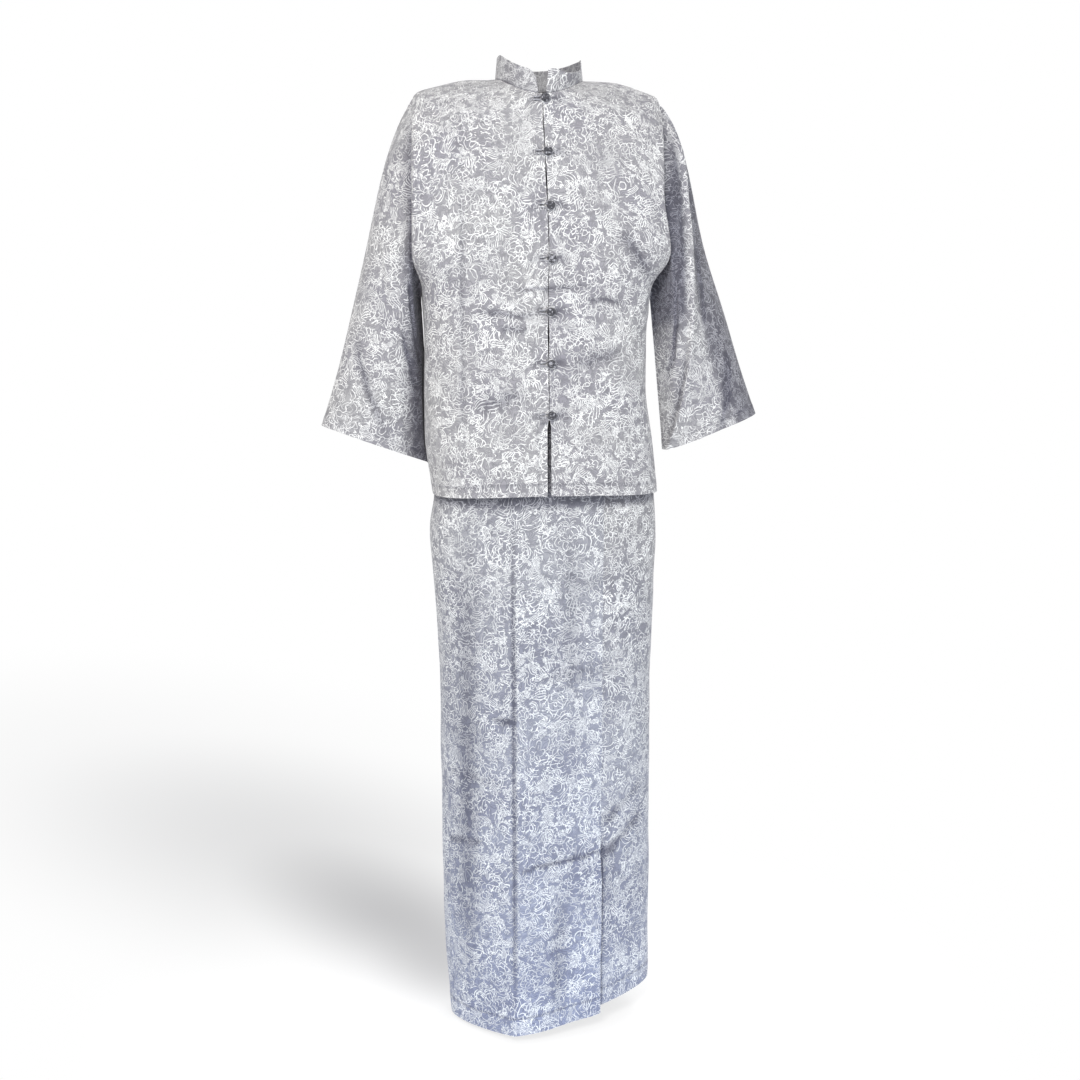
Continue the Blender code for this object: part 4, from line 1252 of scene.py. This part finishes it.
def make_sleeve(side):
    """Builds one sleeve, turned out of the body's cloth at the armhole, and stitches its cuff."""
    grid, s, turn = sleeve_grid(side)
    outward = np.cos(turn)
    normals = normals_of(grid, ring=True) * SIGN[side]
    body = around_armhole(quarter_normals, side)
    for k in range(SEAM_BLEND):
        normals[k] = unit(body + (normals[k] - body) * ease(k / SEAM_BLEND))
    grid = pulled(grid, bottom=True)
    z = grid[:, :, 2]
    printed = sleeve_map(grid)
    flat = cloth_map(grid, ring=True)
    girth, long = flat[:, -1, 0].mean(), flat[:, :-1, 1]
    total = long.max()
    around = np.broadcast_to(turn / (2 * math.pi), grid.shape[:2])
    creases = creased(
        around * girth,
        long,
        [
            (x0 * girth, z0 * total, x1 * girth, z1 * total, width, height)
            for x0, z0, x1, z1, width, height in SLEEVE_CREASES[side]
        ],
    )
    hanging = ripples(grid, SLEEVE_RIPPLES[side], 0.06, 0.2, 0.8) * SLEEVE_RIPPLE_HEIGHT
    lift = (hanging * (0.625 + 0.375 * outward) + creases) * ease(s / 0.06)
    lift = np.where((outward < -0.4) & (lift > 0), lift * 0.3, lift)
    shade = painted_crease_shade(creases)
    if side == "left":
        down = long / long.max(axis=0, keepdims=True)
        fold, behind = long_fold(around, down, girth, z)
        lift, shade = lift + fold, shade + behind

    # The armhole's groove goes on into the sleeve
    column = np.arange(len(turn))
    fall = np.where(column <= ARMHOLE_ROWS, 1.0, ARMHOLE_FALL["back"])
    groove = ARMHOLE_GROOVE * along_armhole(UNDERARM_ROW + np.abs(ARMHOLE_ROWS - column)) * fall
    lift = lift - groove * bell(long, 0.020)

    # Shade beside the body, inside the sleeve's fall and under the arm
    body_half = np.interp(z, BODY_EDGE_Z, read(TOP, "x_" + side, BODY_LEVELS))
    beside = np.maximum(np.abs(grid[:, :, 0]) - body_half, 0)
    high, low = SEAM_SHADE_WIDTH[side]
    reach = high + (low - high) * ease((-0.20 - z) / 0.08)
    seam_line = bell(beside, reach) * (np.sin(turn) > 0) * ease((-0.040 - z) / 0.05)
    near_top = bell(long, 0.07) * ease((0.25 - outward) / 0.9)
    shade = shade + SEAM_SHADE[side] * seam_line + UNDERARM_SHADE[side] * near_top
    shade = shade + INNER_SHADE[side] * ease((-outward - 0.20) / 0.45)

    # The cuff's hem
    cuff_up = np.maximum(long.max(axis=0, keepdims=True) - long, 0)
    shade = shade + 0.4 * stitched_shade(cuff_up, CUFF_DEPTH)
    lift = lift + 0.00035 * ease((CUFF_DEPTH + 0.0015 - cuff_up) / 0.0025)
    lift = lift + seam_dip(len(grid), first=True)[:, None]
    grid = grid + normals * lift[:, :, None]

    name = "sleeve_" + side + "_cloth"
    shell = cloth_shell(
        name,
        grid,
        normals,
        hem_thickness(cuff_up, CUFF_DEPTH),
        printed + ((1.30, 0.0) if side == "right" else (2.00, 0.3)),
        shade,
        TOP_LOOKS,
        ring=True,
        turned=side == "right",
    )
    takes_place(shell, "sleeve_" + side)
    stitch_at = np.interp(-(CUFF_DEPTH - 0.002), -cuff_up[:, 0], np.arange(len(grid)))
    cuff = stitch_row(
        name + "_cuff_stitches", "top_cloth", grid, normals, row=stitch_at, ring=True
    )


make_sleeve("right")
make_sleeve("left")


# The stand collar, one doubled band of the same cotton sewn round the neckline and open at the
# front. It is a little soft from wear: its back stands higher than its front and it waves.

COLLAR_HEIGHT = 0.034
COLLAR_LEAN = 0.004
COLLAR_ROWS = 14
COLLAR_FRONT_SET_BACK = 0.0050
COLLAR_FRONT_SLANT = 0.0035
COLLAR_THICKNESS = 0.0012
# How high each half of the band stands, as shares of its height: at shares of the way from its
# front end to the middle of the back
COLLAR_STAND_AT = {
    "left": (0.0, 0.06, 0.17, 0.32, 0.44, 0.6, 1.0),
    "right": (0.0, 0.05, 0.20, 0.33, 0.45, 0.6, 1.0),
}
COLLAR_STAND = {
    "left": (0.90, 1.0, 0.60, 0.42, 0.86, 0.84, 0.80),
    "right": (0.55, 0.92, 0.90, 0.90, 1.00, 0.84, 0.80),
}
COLLAR_OPEN = 0.0070
# Waves of the band: height, how many go round it, where they start and how they grow upwards
COLLAR_WAVES = ((0.0010, 4.5, 0.6, 1.5), (0.0006, 11, 2, 1))
COLLAR_SHADE = {"left": 0.14, "right": 0.24}

left_front, left_back, right_back, right_front = (
    quarters[side, face][-1]
    for side, face in (("left", "front"), ("left", "back"), ("right", "back"), ("right", "front"))
)
neckline = [left_front, left_back[::-1][1:], right_back[1:], right_front[::-1][1:]]
neckline = np.concatenate(neckline)
for end, inside in ((0, 8), (-1, -9)):
    way = unit(neckline[inside] - neckline[end])
    for k in range(8):
        at = k if end == 0 else -1 - k
        neckline[at] += way * COLLAR_FRONT_SET_BACK * (1 - k / 8)
order = np.arange(len(neckline))
count = len(neckline) - 1
on_left = order < count / 2
outward = unit(neckline * (1, 1, 0))
from_front = np.minimum(order, count - order) / count * 2
share = np.linspace(0, 1, COLLAR_ROWS + 1)[:, None]
collar = np.repeat(neckline[None], COLLAR_ROWS + 1, axis=0)
collar -= outward[None] * (COLLAR_LEAN * share)[:, :, None]
slant = np.where(on_left, 1, -1) * COLLAR_FRONT_SLANT * (1 - ease(from_front / 0.2))
collar[:, :, 0] += slant * share
left_stand, right_stand = (
    np.interp(from_front, COLLAR_STAND_AT[side], COLLAR_STAND[side]) for side in ("left", "right")
)
stand = np.pad(np.where(on_left, left_stand, right_stand), 6, mode="edge")
stand = np.convolve(stand, np.ones(13) / 13, mode="valid")
collar[:, :, 2] += COLLAR_HEIGHT * stand * share
opened = bell(from_front - 0.24, 0.14) * on_left
collar += outward[None] * (COLLAR_OPEN * opened * share**1.5)[:, :, None]
collar_normals = normals_of(collar)
collar = pulled(collar, bottom=True)
collar_flat = cloth_map(collar)
collar_lift = -0.0004 * bell(share, 0.1)
for height, waves, start, growth in COLLAR_WAVES:
    wave = np.sin(order / count * 2 * math.pi * waves + start)
    collar_lift = collar_lift + height * wave * share**growth
collar = collar + collar_normals * collar_lift[:, :, None]
collar_shade = np.where(on_left, COLLAR_SHADE["left"], COLLAR_SHADE["right"])
collar_shade = collar_shade * ease(1.2 - from_front)
collar_shade = collar_shade + 0.75 * bell(share * COLLAR_HEIGHT, 0.0016)
collar_shell = cloth_shell(
    "collar_band",
    collar,
    collar_normals,
    COLLAR_THICKNESS,
    collar_flat + (3.1, 0.4),
    collar_shade,
    TOP_LOOKS,
)
takes_place(collar_shell, "collar")
collar_stitches = stitch_row(
    "collar_top_stitches", "top_cloth", collar, collar_normals, row=COLLAR_ROWS - 1.6
)


# The buttons and their loops. Each button is a hard knot tied in a cord of rolled cotton, sewn to
# the wearer's left edge; each loop is the same cord, sewn down on the right front by its two legs.

KNOT_HALF_WIDTH = 0.0066
KNOT_HALF_HEIGHT = 0.0054
KNOT_HALF_DEPTH = 0.0048
CORD_RADIUS = 0.0011
LOOP_RADIUS = 0.0066
LOOP_LEG = 0.0170
LOOP_LEG_HALF_GAP = 0.0022
CORD_ASIDE = 0.0034
CORD_SIDES = 8
STRAND_RADIUS = 0.0019
KNOT_POINTS, LOOP_POINTS = 144, 90


def make_cord_material(name, dark, pale):
    """Rolled bias strips of the cloth, with pale flecks where the print shows."""
    material, tree, shader = new_material(name)
    place = add_node(tree, "TexCoord").outputs["Object"]
    fleck = ((noise(tree, place, 260.0, 3.0, dimensions="3D") - 0.52) / 0.12).share()
    threads = noise(tree, place, 1500.0, dimensions="3D")
    finish = {
        "Base Color": colour_mix(tree, fleck, dark, pale),
        "Roughness": fleck * 0.1 + 0.75,
        "Sheen Weight": 0.2,
        "Normal": bumped(tree, threads, 0.0002, 0.6),
    }
    fill_inputs(tree, shader, finish)
    return material


# The knots' cord is the same cloth as the loops', painted much darker for the shade among the
# knot's tight turns and under it
KNOT_CORD = make_cord_material(
    "rolled cotton cord, knots", (0.048, 0.048, 0.058, 1.0), (0.42, 0.42, 0.46, 1.0)
)
LOOP_CORD = make_cord_material(
    "rolled cotton cord, loops", (0.31, 0.31, 0.34, 1.0), (0.74, 0.74, 0.75, 1.0)
)


def tube(name, path, radius, look, out=None):
    """A round cord along a line of points: a ring drawn round its own middle, or, where a way out
    of the cloth is given, an open length lying on it."""
    count = len(path)
    if out is None:
        along = np.roll(path, -1, axis=0) - np.roll(path, 1, axis=0)
        guide = path - path.mean(axis=0)
    else:
        along = np.gradient(path, axis=0)
        guide = np.broadcast_to(out, path.shape)
    along = unit(along)
    wide = unit(np.cross(along, guide))
    high = np.cross(wide, along)
    turn = (2 * math.pi * np.arange(CORD_SIDES) / CORD_SIDES)[None, :, None]
    radius = np.broadcast_to(radius, count)[:, None, None]
    rings = path[:, None] + radius * (wide[:, None] * np.cos(turn) + high[:, None] * np.sin(turn))
    number = np.arange(count * CORD_SIDES).reshape(count, CORD_SIDES)
    following, beside = np.roll(number, -1, axis=0), np.roll(number, -1, axis=1)
    quads = np.stack([number, following, np.roll(following, -1, axis=1), beside], axis=2)
    faces = (quads if out is None else quads[:-1]).reshape(-1, 4).tolist()
    if out is not None:
        faces += [number[0].tolist(), number[-1][::-1].tolist()]
    mesh = bpy.data.meshes.new(name)
    mesh.from_pydata(rings.reshape(-1, 3).tolist(), [], faces)
    mesh.materials.append(look)
    mesh.shade_smooth()
    return added(name, mesh)


def front_place(z):
    """The point on the closed front at a height, with the directions out of and up the cloth."""
    lines = np.linspace(HEM, NECK, 1200)
    columns = ("x_front", "y_front", "z_front")
    places = np.stack([read(TOP, column, lines) for column in columns], axis=1)
    i = int(np.clip(np.argmin(np.abs(places[:, 2] - z)), 1, len(lines) - 2))
    up = unit(places[i + 1] - places[i - 1])
    out = unit(np.cross(up, (1, 0, 0)))
    return places[i], (-out if out[1] > 0 else out), up


across_way = np.array([1.0, 0.0, 0.0])
for i in range(BUTTON_COUNT):
    point, out, up = front_place(FIRST_BUTTON_Z - BUTTON_STEP * i)
    point = point + across_way * CORD_ASIDE

    # The knot's cord goes three times round while it weaves up and down
    t = np.linspace(0, 2 * math.pi, KNOT_POINTS, endpoint=False)
    sway = 0.52 * np.sin(4 * t + 0.3 * i)
    ring = np.cos(sway * 1.25)
    path = (
        point
        + out * (KNOT_HALF_DEPTH + SEAM_GAP)
        + across_way * (ring * np.cos(3 * t) * (KNOT_HALF_WIDTH - STRAND_RADIUS))[:, None]
        + up * (np.sin(sway * 1.9) * (KNOT_HALF_HEIGHT - STRAND_RADIUS))[:, None]
        + out * (ring * np.sin(3 * t) * (KNOT_HALF_DEPTH - STRAND_RADIUS))[:, None]
    )
    knot = tube("knot_%d" % (i + 1), path, STRAND_RADIUS, KNOT_CORD)
    takes_place(knot, "knot_button_%d" % (i + 1))

    # The loop's cord comes out along one leg, goes round the knot and back along the other
    bend = np.radians(np.linspace(155, -155, 40))
    legs = np.linspace(-LOOP_LEG, -LOOP_LEG * 0.72, 8)
    leg_up = np.full(8, LOOP_LEG_HALF_GAP)
    flat_x = np.concatenate([legs, LOOP_RADIUS * np.cos(bend), legs[::-1]])
    flat_z = np.concatenate([leg_up, LOOP_RADIUS * np.sin(bend), -leg_up])
    drawn = np.stack([flat_x, flat_z, np.zeros(len(flat_x))], axis=1)
    smooth = even(drawn, np.linspace(0, 1, LOOP_POINTS))
    for k in range(2):
        padded = np.pad(smooth[:, k], 3, mode="edge")
        smooth[:, k] = np.convolve(padded, np.ones(7) / 7, mode="valid")
    twist = 1 + 0.10 * np.sin(np.arange(LOOP_POINTS) * 1.15 + i)
    start = point + out * (CORD_RADIUS + SEAM_GAP)
    route = start + across_way * smooth[:, :1] + up * smooth[:, 1:2]
    loop = tube("loop_%d" % (i + 1), route, CORD_RADIUS * twist, LOOP_CORD, out)
    takes_place(loop, "button_loop_%d" % (i + 1))


# The skirt: front overlap, front underlap and back, long straight panels of the same cotton.
# A full-length pressed fold runs down the front, the overlap ends in a low kick slit, and the
# hem is turned up and stitched. It hangs from a plain waistband below the top.

SKIRT_COLUMNS = "z x_right x_left y_edge y_front y_back square pleat"
SKIRT_LEVELS = [
    (-1.400, 0.144, 0.172, -0.008, -0.100, 0.092, 1.80, 0.030),
    (-1.250, 0.153, 0.172, -0.010, -0.103, 0.094, 1.95, 0.026),
    (-1.050, 0.155, 0.170, -0.010, -0.105, 0.095, 2.10, 0.020),
    (-0.850, 0.156, 0.168, -0.011, -0.106, 0.096, 2.30, 0.014),
    (-0.650, 0.167, 0.172, -0.012, -0.106, 0.096, 2.50, 0.008),
    (-0.590, 0.1594, 0.1684, -0.012, -0.105, 0.094, 2.70, 0.006),
    (-0.500, 0.153, 0.153, -0.011, -0.099, 0.088, 2.50, 0.002),
    (-0.452, 0.146, 0.144, -0.010, -0.094, 0.082, 2.30, 0.000),
    (-0.420, 0.140, 0.139, -0.010, -0.090, 0.078, 2.20, 0.000),
]
SKIRT = columns_of(SKIRT_COLUMNS, SKIRT_LEVELS)
SKIRT_HEM_LEVEL, SKIRT_TOP_LEVEL, WAIST_LEVEL = 0, 7, 8
SKIRT_ROWS = 294
BAND_ROWS = 12
HEM_TILT = 0.098
PLEAT_X = -0.056
PLEAT_REACH_RIGHT = 0.090
PLEAT_REACH_LEFT = 0.150
OVERLAP_X = 0.079
SLIT_TOP_Z = -1.120
OVERLAP_LIFT = 0.0042
UNDERLAP_WIDTH = 0.032
UNDERLAP_DROP = 0.0022
UNDERLAP_CLOSE = 0.0011
UNDERLAP_STEP = 0.006
UNDERLAP_HEM_RISE = 0.010
FOLD_STEPS, MIDDLE_STEPS, LAP_STEPS, STEP_STEPS, SIDE_STEPS, BACK_STEPS = 44, 34, 11, 2, 26, 130
SKIRT_HEM_DEPTH = 0.030
HEM_RISE_ROWS = 14
WAISTBAND_THICKNESS = 0.0012

SKIRT_CREASES = [
    (-0.0545, -0.590, -0.0545, -1.398, 0.0032, -0.0021),
    (-0.0490, -0.590, -0.0490, -1.398, 0.0040, 0.0015),
    (-0.058, -1.141, 0.082, -1.126, 0.0034, -0.0026),
    (-0.056, -1.150, 0.080, -1.136, 0.0060, 0.0020),
    (-0.086, -0.908, -0.042, -0.911, 0.0038, -0.0024),
    (-0.151, -1.113, -0.100, -1.103, 0.0046, -0.0019),
    (-0.150, -1.000, -0.072, -1.008, 0.0060, -0.0007),
    (0.079, -1.138, 0.150, -1.078, 0.0110, -0.0022),
    (0.079, -1.090, 0.145, -1.030, 0.0110, -0.0018),
    (0.080, -1.186, 0.150, -1.155, 0.0120, 0.0020),
    (0.082, -1.110, 0.150, -1.052, 0.0100, 0.0018),
    (0.010, -0.700, 0.110, -0.715, 0.0120, -0.0005),
    (-0.020, -0.850, 0.100, -0.835, 0.0100, -0.0006),
    (0.020, -0.980, 0.130, -0.965, 0.0130, 0.0010),
    (0.030, -0.620, 0.036, -0.900, 0.0140, -0.0005),
    (0.116, -0.640, 0.120, -1.300, 0.0160, 0.0013),
    (-0.120, -0.640, -0.122, -1.350, 0.0150, -0.0011),
    (0.015, -1.180, 0.012, -1.380, 0.0140, -0.0008),
]
SKIRT_BACK_CREASES = [
    (0.0, -0.620, 0.0, -1.380, 0.0040, 0.0016),
    (0.006, -0.620, 0.006, -1.380, 0.0060, -0.0010),
    (-0.140, -1.135, 0.140, -1.130, 0.0045, -0.0016),
    (-0.140, -0.900, 0.140, -0.905, 0.0050, -0.0014),
    (-0.080, -0.650, -0.090, -1.350, 0.0150, 0.0013),
    (0.080, -0.650, 0.085, -1.350, 0.0150, 0.0013),
    (-0.120, -0.700, -0.030, -0.760, 0.0120, -0.0012),
    (0.120, -0.700, 0.030, -0.765, 0.0120, -0.0012),
]


def skirt_curve(level, face):
    """The front or back half of a ring of the skirt, drawn towards +X."""
    turn = np.linspace(-math.pi / 2, math.pi / 2, 361)
    power = 2 / read(SKIRT, "square", level)
    half = np.where(turn < 0, read(SKIRT, "x_right", level), read(SKIRT, "x_left", level))
    x = np.sign(turn) * half * np.abs(np.sin(turn)) ** power
    edge_y, middle_y = read(SKIRT, "y_edge", level), read(SKIRT, "y_" + face, level)
    y = edge_y + (middle_y - edge_y) * np.maximum(np.cos(turn), 0.0) ** power
    if face == "front":
        reach = np.where(x < PLEAT_X, PLEAT_REACH_RIGHT, PLEAT_REACH_LEFT)
        tent = np.maximum(0.0, 1 - np.abs(x - PLEAT_X) / reach)
        y -= read(SKIRT, "pleat", level) * tent**1.3
    tilt = HEM_TILT * max(0.0, 1 - level / 3)
    z = read(SKIRT, "z", level) + tilt * x
    return np.stack([x, y, z], axis=1)


def between(curve, first, last):
    """The part of a curve that lies between two values of x."""
    ends = [[np.interp(x, curve[:, 0], curve[:, k]) for k in range(3)] for x in (first, last)]
    inside = curve[(curve[:, 0] > first) & (curve[:, 0] < last)]
    return np.concatenate([ends[:1], inside, ends[1:]])


def skirt_row(level):
    """One ring of the skirt, from the wearer's right side seam round the front and the back."""
    front = skirt_curve(level, "front")
    lap_x = OVERLAP_X - UNDERLAP_WIDTH
    stops = [
        (front[0, 0], PLEAT_X, FOLD_STEPS),
        (PLEAT_X, lap_x, MIDDLE_STEPS),
        (lap_x, OVERLAP_X, LAP_STEPS),
        (OVERLAP_X, OVERLAP_X + UNDERLAP_STEP, STEP_STEPS),
        (OVERLAP_X + UNDERLAP_STEP, front[-1, 0], SIDE_STEPS),
    ]
    row = [even(between(front, a, b), np.linspace(0, 1, n + 1)[:-1]) for a, b, n in stops]
    back = skirt_curve(level, "back")[::-1]
    row.append(even(back, np.linspace(0, 1, BACK_STEPS + 1)[:-1]))
    return np.concatenate(row)


skirt_levels = np.linspace(SKIRT_HEM_LEVEL, SKIRT_TOP_LEVEL, SKIRT_ROWS + 1)
band_levels = np.linspace(SKIRT_TOP_LEVEL, WAIST_LEVEL, BAND_ROWS + 1)
whole = np.array([skirt_row(level) for level in np.concatenate([skirt_levels, band_levels[1:]])])
whole_normals = normals_of(whole, ring=True)
skirt_rings, skirt_normals = whole[: SKIRT_ROWS + 1], whole_normals[: SKIRT_ROWS + 1]
band_rings, band_normals = whole[SKIRT_ROWS:], whole_normals[SKIRT_ROWS:]

LAP_COLUMN = FOLD_STEPS + MIDDLE_STEPS
LAP_SEAM = LAP_COLUMN + LAP_STEPS
SIDE_COLUMN = LAP_SEAM + STEP_STEPS + SIDE_STEPS

# Painted light: the skirt's cloth turns darker and bluer towards its hem
SKIRT_PAINTED_LIGHT_TINT = (0.86, 0.95, 1.29, 1.0)
SKIRT_LOOKS = (
    printed_cotton(
        "printed cotton, skirt",
        (0.382, 0.376, 0.376, 1.0),
        (0.274, 0.269, 0.288, 1.0),
        WAX,
        0.95,
        SKIRT_PAINTED_LIGHT_TINT,
    ),
    printed_cotton("printed cotton, skirt, wrong side", GROUND, DEEP_GROUND, REVERSE_WAX, 0.6),
)
# Below this height the skirt hangs free of the top
FREE_BELOW = -0.615
UNDER_TOP_SHADE = 0.80


def skirt_relief(points, creases):
    """Hanging unevenness of the skirt, none where it lies close under the top."""
    x, z = points[:, :, 0], points[:, :, 2]
    pressed = creased(x, z, creases)
    hanging = ripples(points, 23, 0.09, 0.26, 0.85) * 0.0030
    hanging = hanging + ripples(points, 24, 0.05, 0.14, 0.3) * 0.0008
    free = ease((FREE_BELOW - z) / 0.06)
    return hanging * free + np.where(pressed > 0, pressed * free, pressed), pressed


def beside_overlap(grid):
    """Shade that the free edge of the overlap throws on the underlap."""
    x, z = grid[:, :, 0], grid[:, :, 2]
    free = ease((SLIT_TOP_Z + 0.03 - z) / 0.04)
    beside = bell(x - OVERLAP_X, 0.0050)
    wide = bell(x - OVERLAP_X, 0.030) * bell(z + 1.16, 0.05)
    return (0.95 * beside + 0.32 * wide) * free


def make_skirt_panel(name, node, columns, creases, joined, shift, offset):
    """Builds one panel from its columns of the skirt's rings, and stitches its hem."""
    grid = np.take(skirt_rings, columns, axis=1, mode="wrap")
    normals = np.take(skirt_normals, columns, axis=1, mode="wrap")
    grid = pulled(shift(grid, normals), top=True, **joined)
    flat = cloth_map(grid)
    up = flat[:, :, 1]
    lift, pressed = skirt_relief(grid, creases)
    lift = lift + seam_dip(grid.shape[1], **joined) + hem_lift(up, SKIRT_HEM_DEPTH)
    shade = painted_crease_shade(pressed) + 0.7 * stitched_shade(up, SKIRT_HEM_DEPTH)
    shade = shade + UNDER_TOP_SHADE * ease((grid[:, :, 2] + 0.603) / 0.013)
    if name == "skirt_underlap":
        shade = shade + beside_overlap(grid)
    grid = grid + normals * lift[:, :, None]
    thickness = hem_thickness(up, SKIRT_HEM_DEPTH)
    shell = cloth_shell(name, grid, normals, thickness, flat + offset, shade, SKIRT_LOOKS)
    takes_place(shell, node)
    hem_row = row_at(flat, SKIRT_HEM_DEPTH - 0.003, 20)
    hem = stitch_row(name + "_hem_stitches", "skirt_cloth", grid, normals, row=hem_row)


def over(grid, normals):
    """The overlap stands off the underlap below the top of the slit."""
    near = ease((grid[:, :, 0] - OVERLAP_X + 0.05) / 0.05)
    low = ease((SLIT_TOP_Z - grid[:, :, 2]) / 0.06)
    return grid + normals * (OVERLAP_LIFT * near * low)[:, :, None]


def risen(grid, near=1.0):
    """A panel whose hem rises to meet its neighbour's, by a share for each column."""
    rise = UNDERLAP_HEM_RISE * (1 - ease(np.arange(len(grid)) / float(HEM_RISE_ROWS)))
    way = unit(grid[HEM_RISE_ROWS] - grid[0])
    return grid + way[None] * (rise[:, None] * near)[:, :, None]


def under(grid, normals):
    """The underlap's first columns go in under the overlap, and its hem is a little higher."""
    drop = np.where(np.arange(grid.shape[1]) <= LAP_STEPS, 1.0, 0.0)
    drop[LAP_STEPS + 1 : LAP_STEPS + STEP_STEPS] = 0.5
    free = ease((SLIT_TOP_Z + 0.02 - grid[:, :, 2]) / 0.06)
    depth = UNDERLAP_CLOSE + (UNDERLAP_DROP - UNDERLAP_CLOSE) * free
    return risen(grid - normals * (drop * depth)[:, :, None])


def behind(grid, normals):
    """The back's hem rises to meet the underlap's at the side seam."""
    return risen(grid, 1 - ease(np.arange(grid.shape[1]) / (0.4 * BACK_STEPS)))


band_grid = pulled(band_rings, bottom=True)
band_shade = np.zeros(band_grid.shape[:2])
band_flat = cloth_map(band_grid, ring=True) + (4.0, 0.7)
band = cloth_shell(
    "waistband",
    band_grid,
    band_normals,
    WAISTBAND_THICKNESS,
    band_flat,
    band_shade,
    SKIRT_LOOKS,
    ring=True,
)
takes_place(band, "skirt_waistband")
band_rows = [
    stitch_row(
        "waistband_%s_stitches" % label, "skirt_cloth", band_grid, band_normals, row=at, ring=True
    )
    for label, at in (("top", BAND_ROWS - 1.0), ("bottom", 1.2))
]

make_skirt_panel(
    "skirt_overlap",
    "skirt_front_overlap",
    np.arange(0, LAP_SEAM + 1),
    SKIRT_CREASES,
    {"first": True},
    over,
    (5.0, 0.0),
)
make_skirt_panel(
    "skirt_underlap",
    "skirt_front_underlap",
    np.arange(LAP_COLUMN, SIDE_COLUMN + 1),
    SKIRT_CREASES,
    {"last": True},
    under,
    (6.0, 0.13),
)
make_skirt_panel(
    "skirt_back_panel",
    "skirt_back",
    np.arange(SIDE_COLUMN, skirt_rings.shape[1] + 1),
    SKIRT_BACK_CREASES,
    {"first": True, "last": True},
    behind,
    (7.0, 0.0),
)
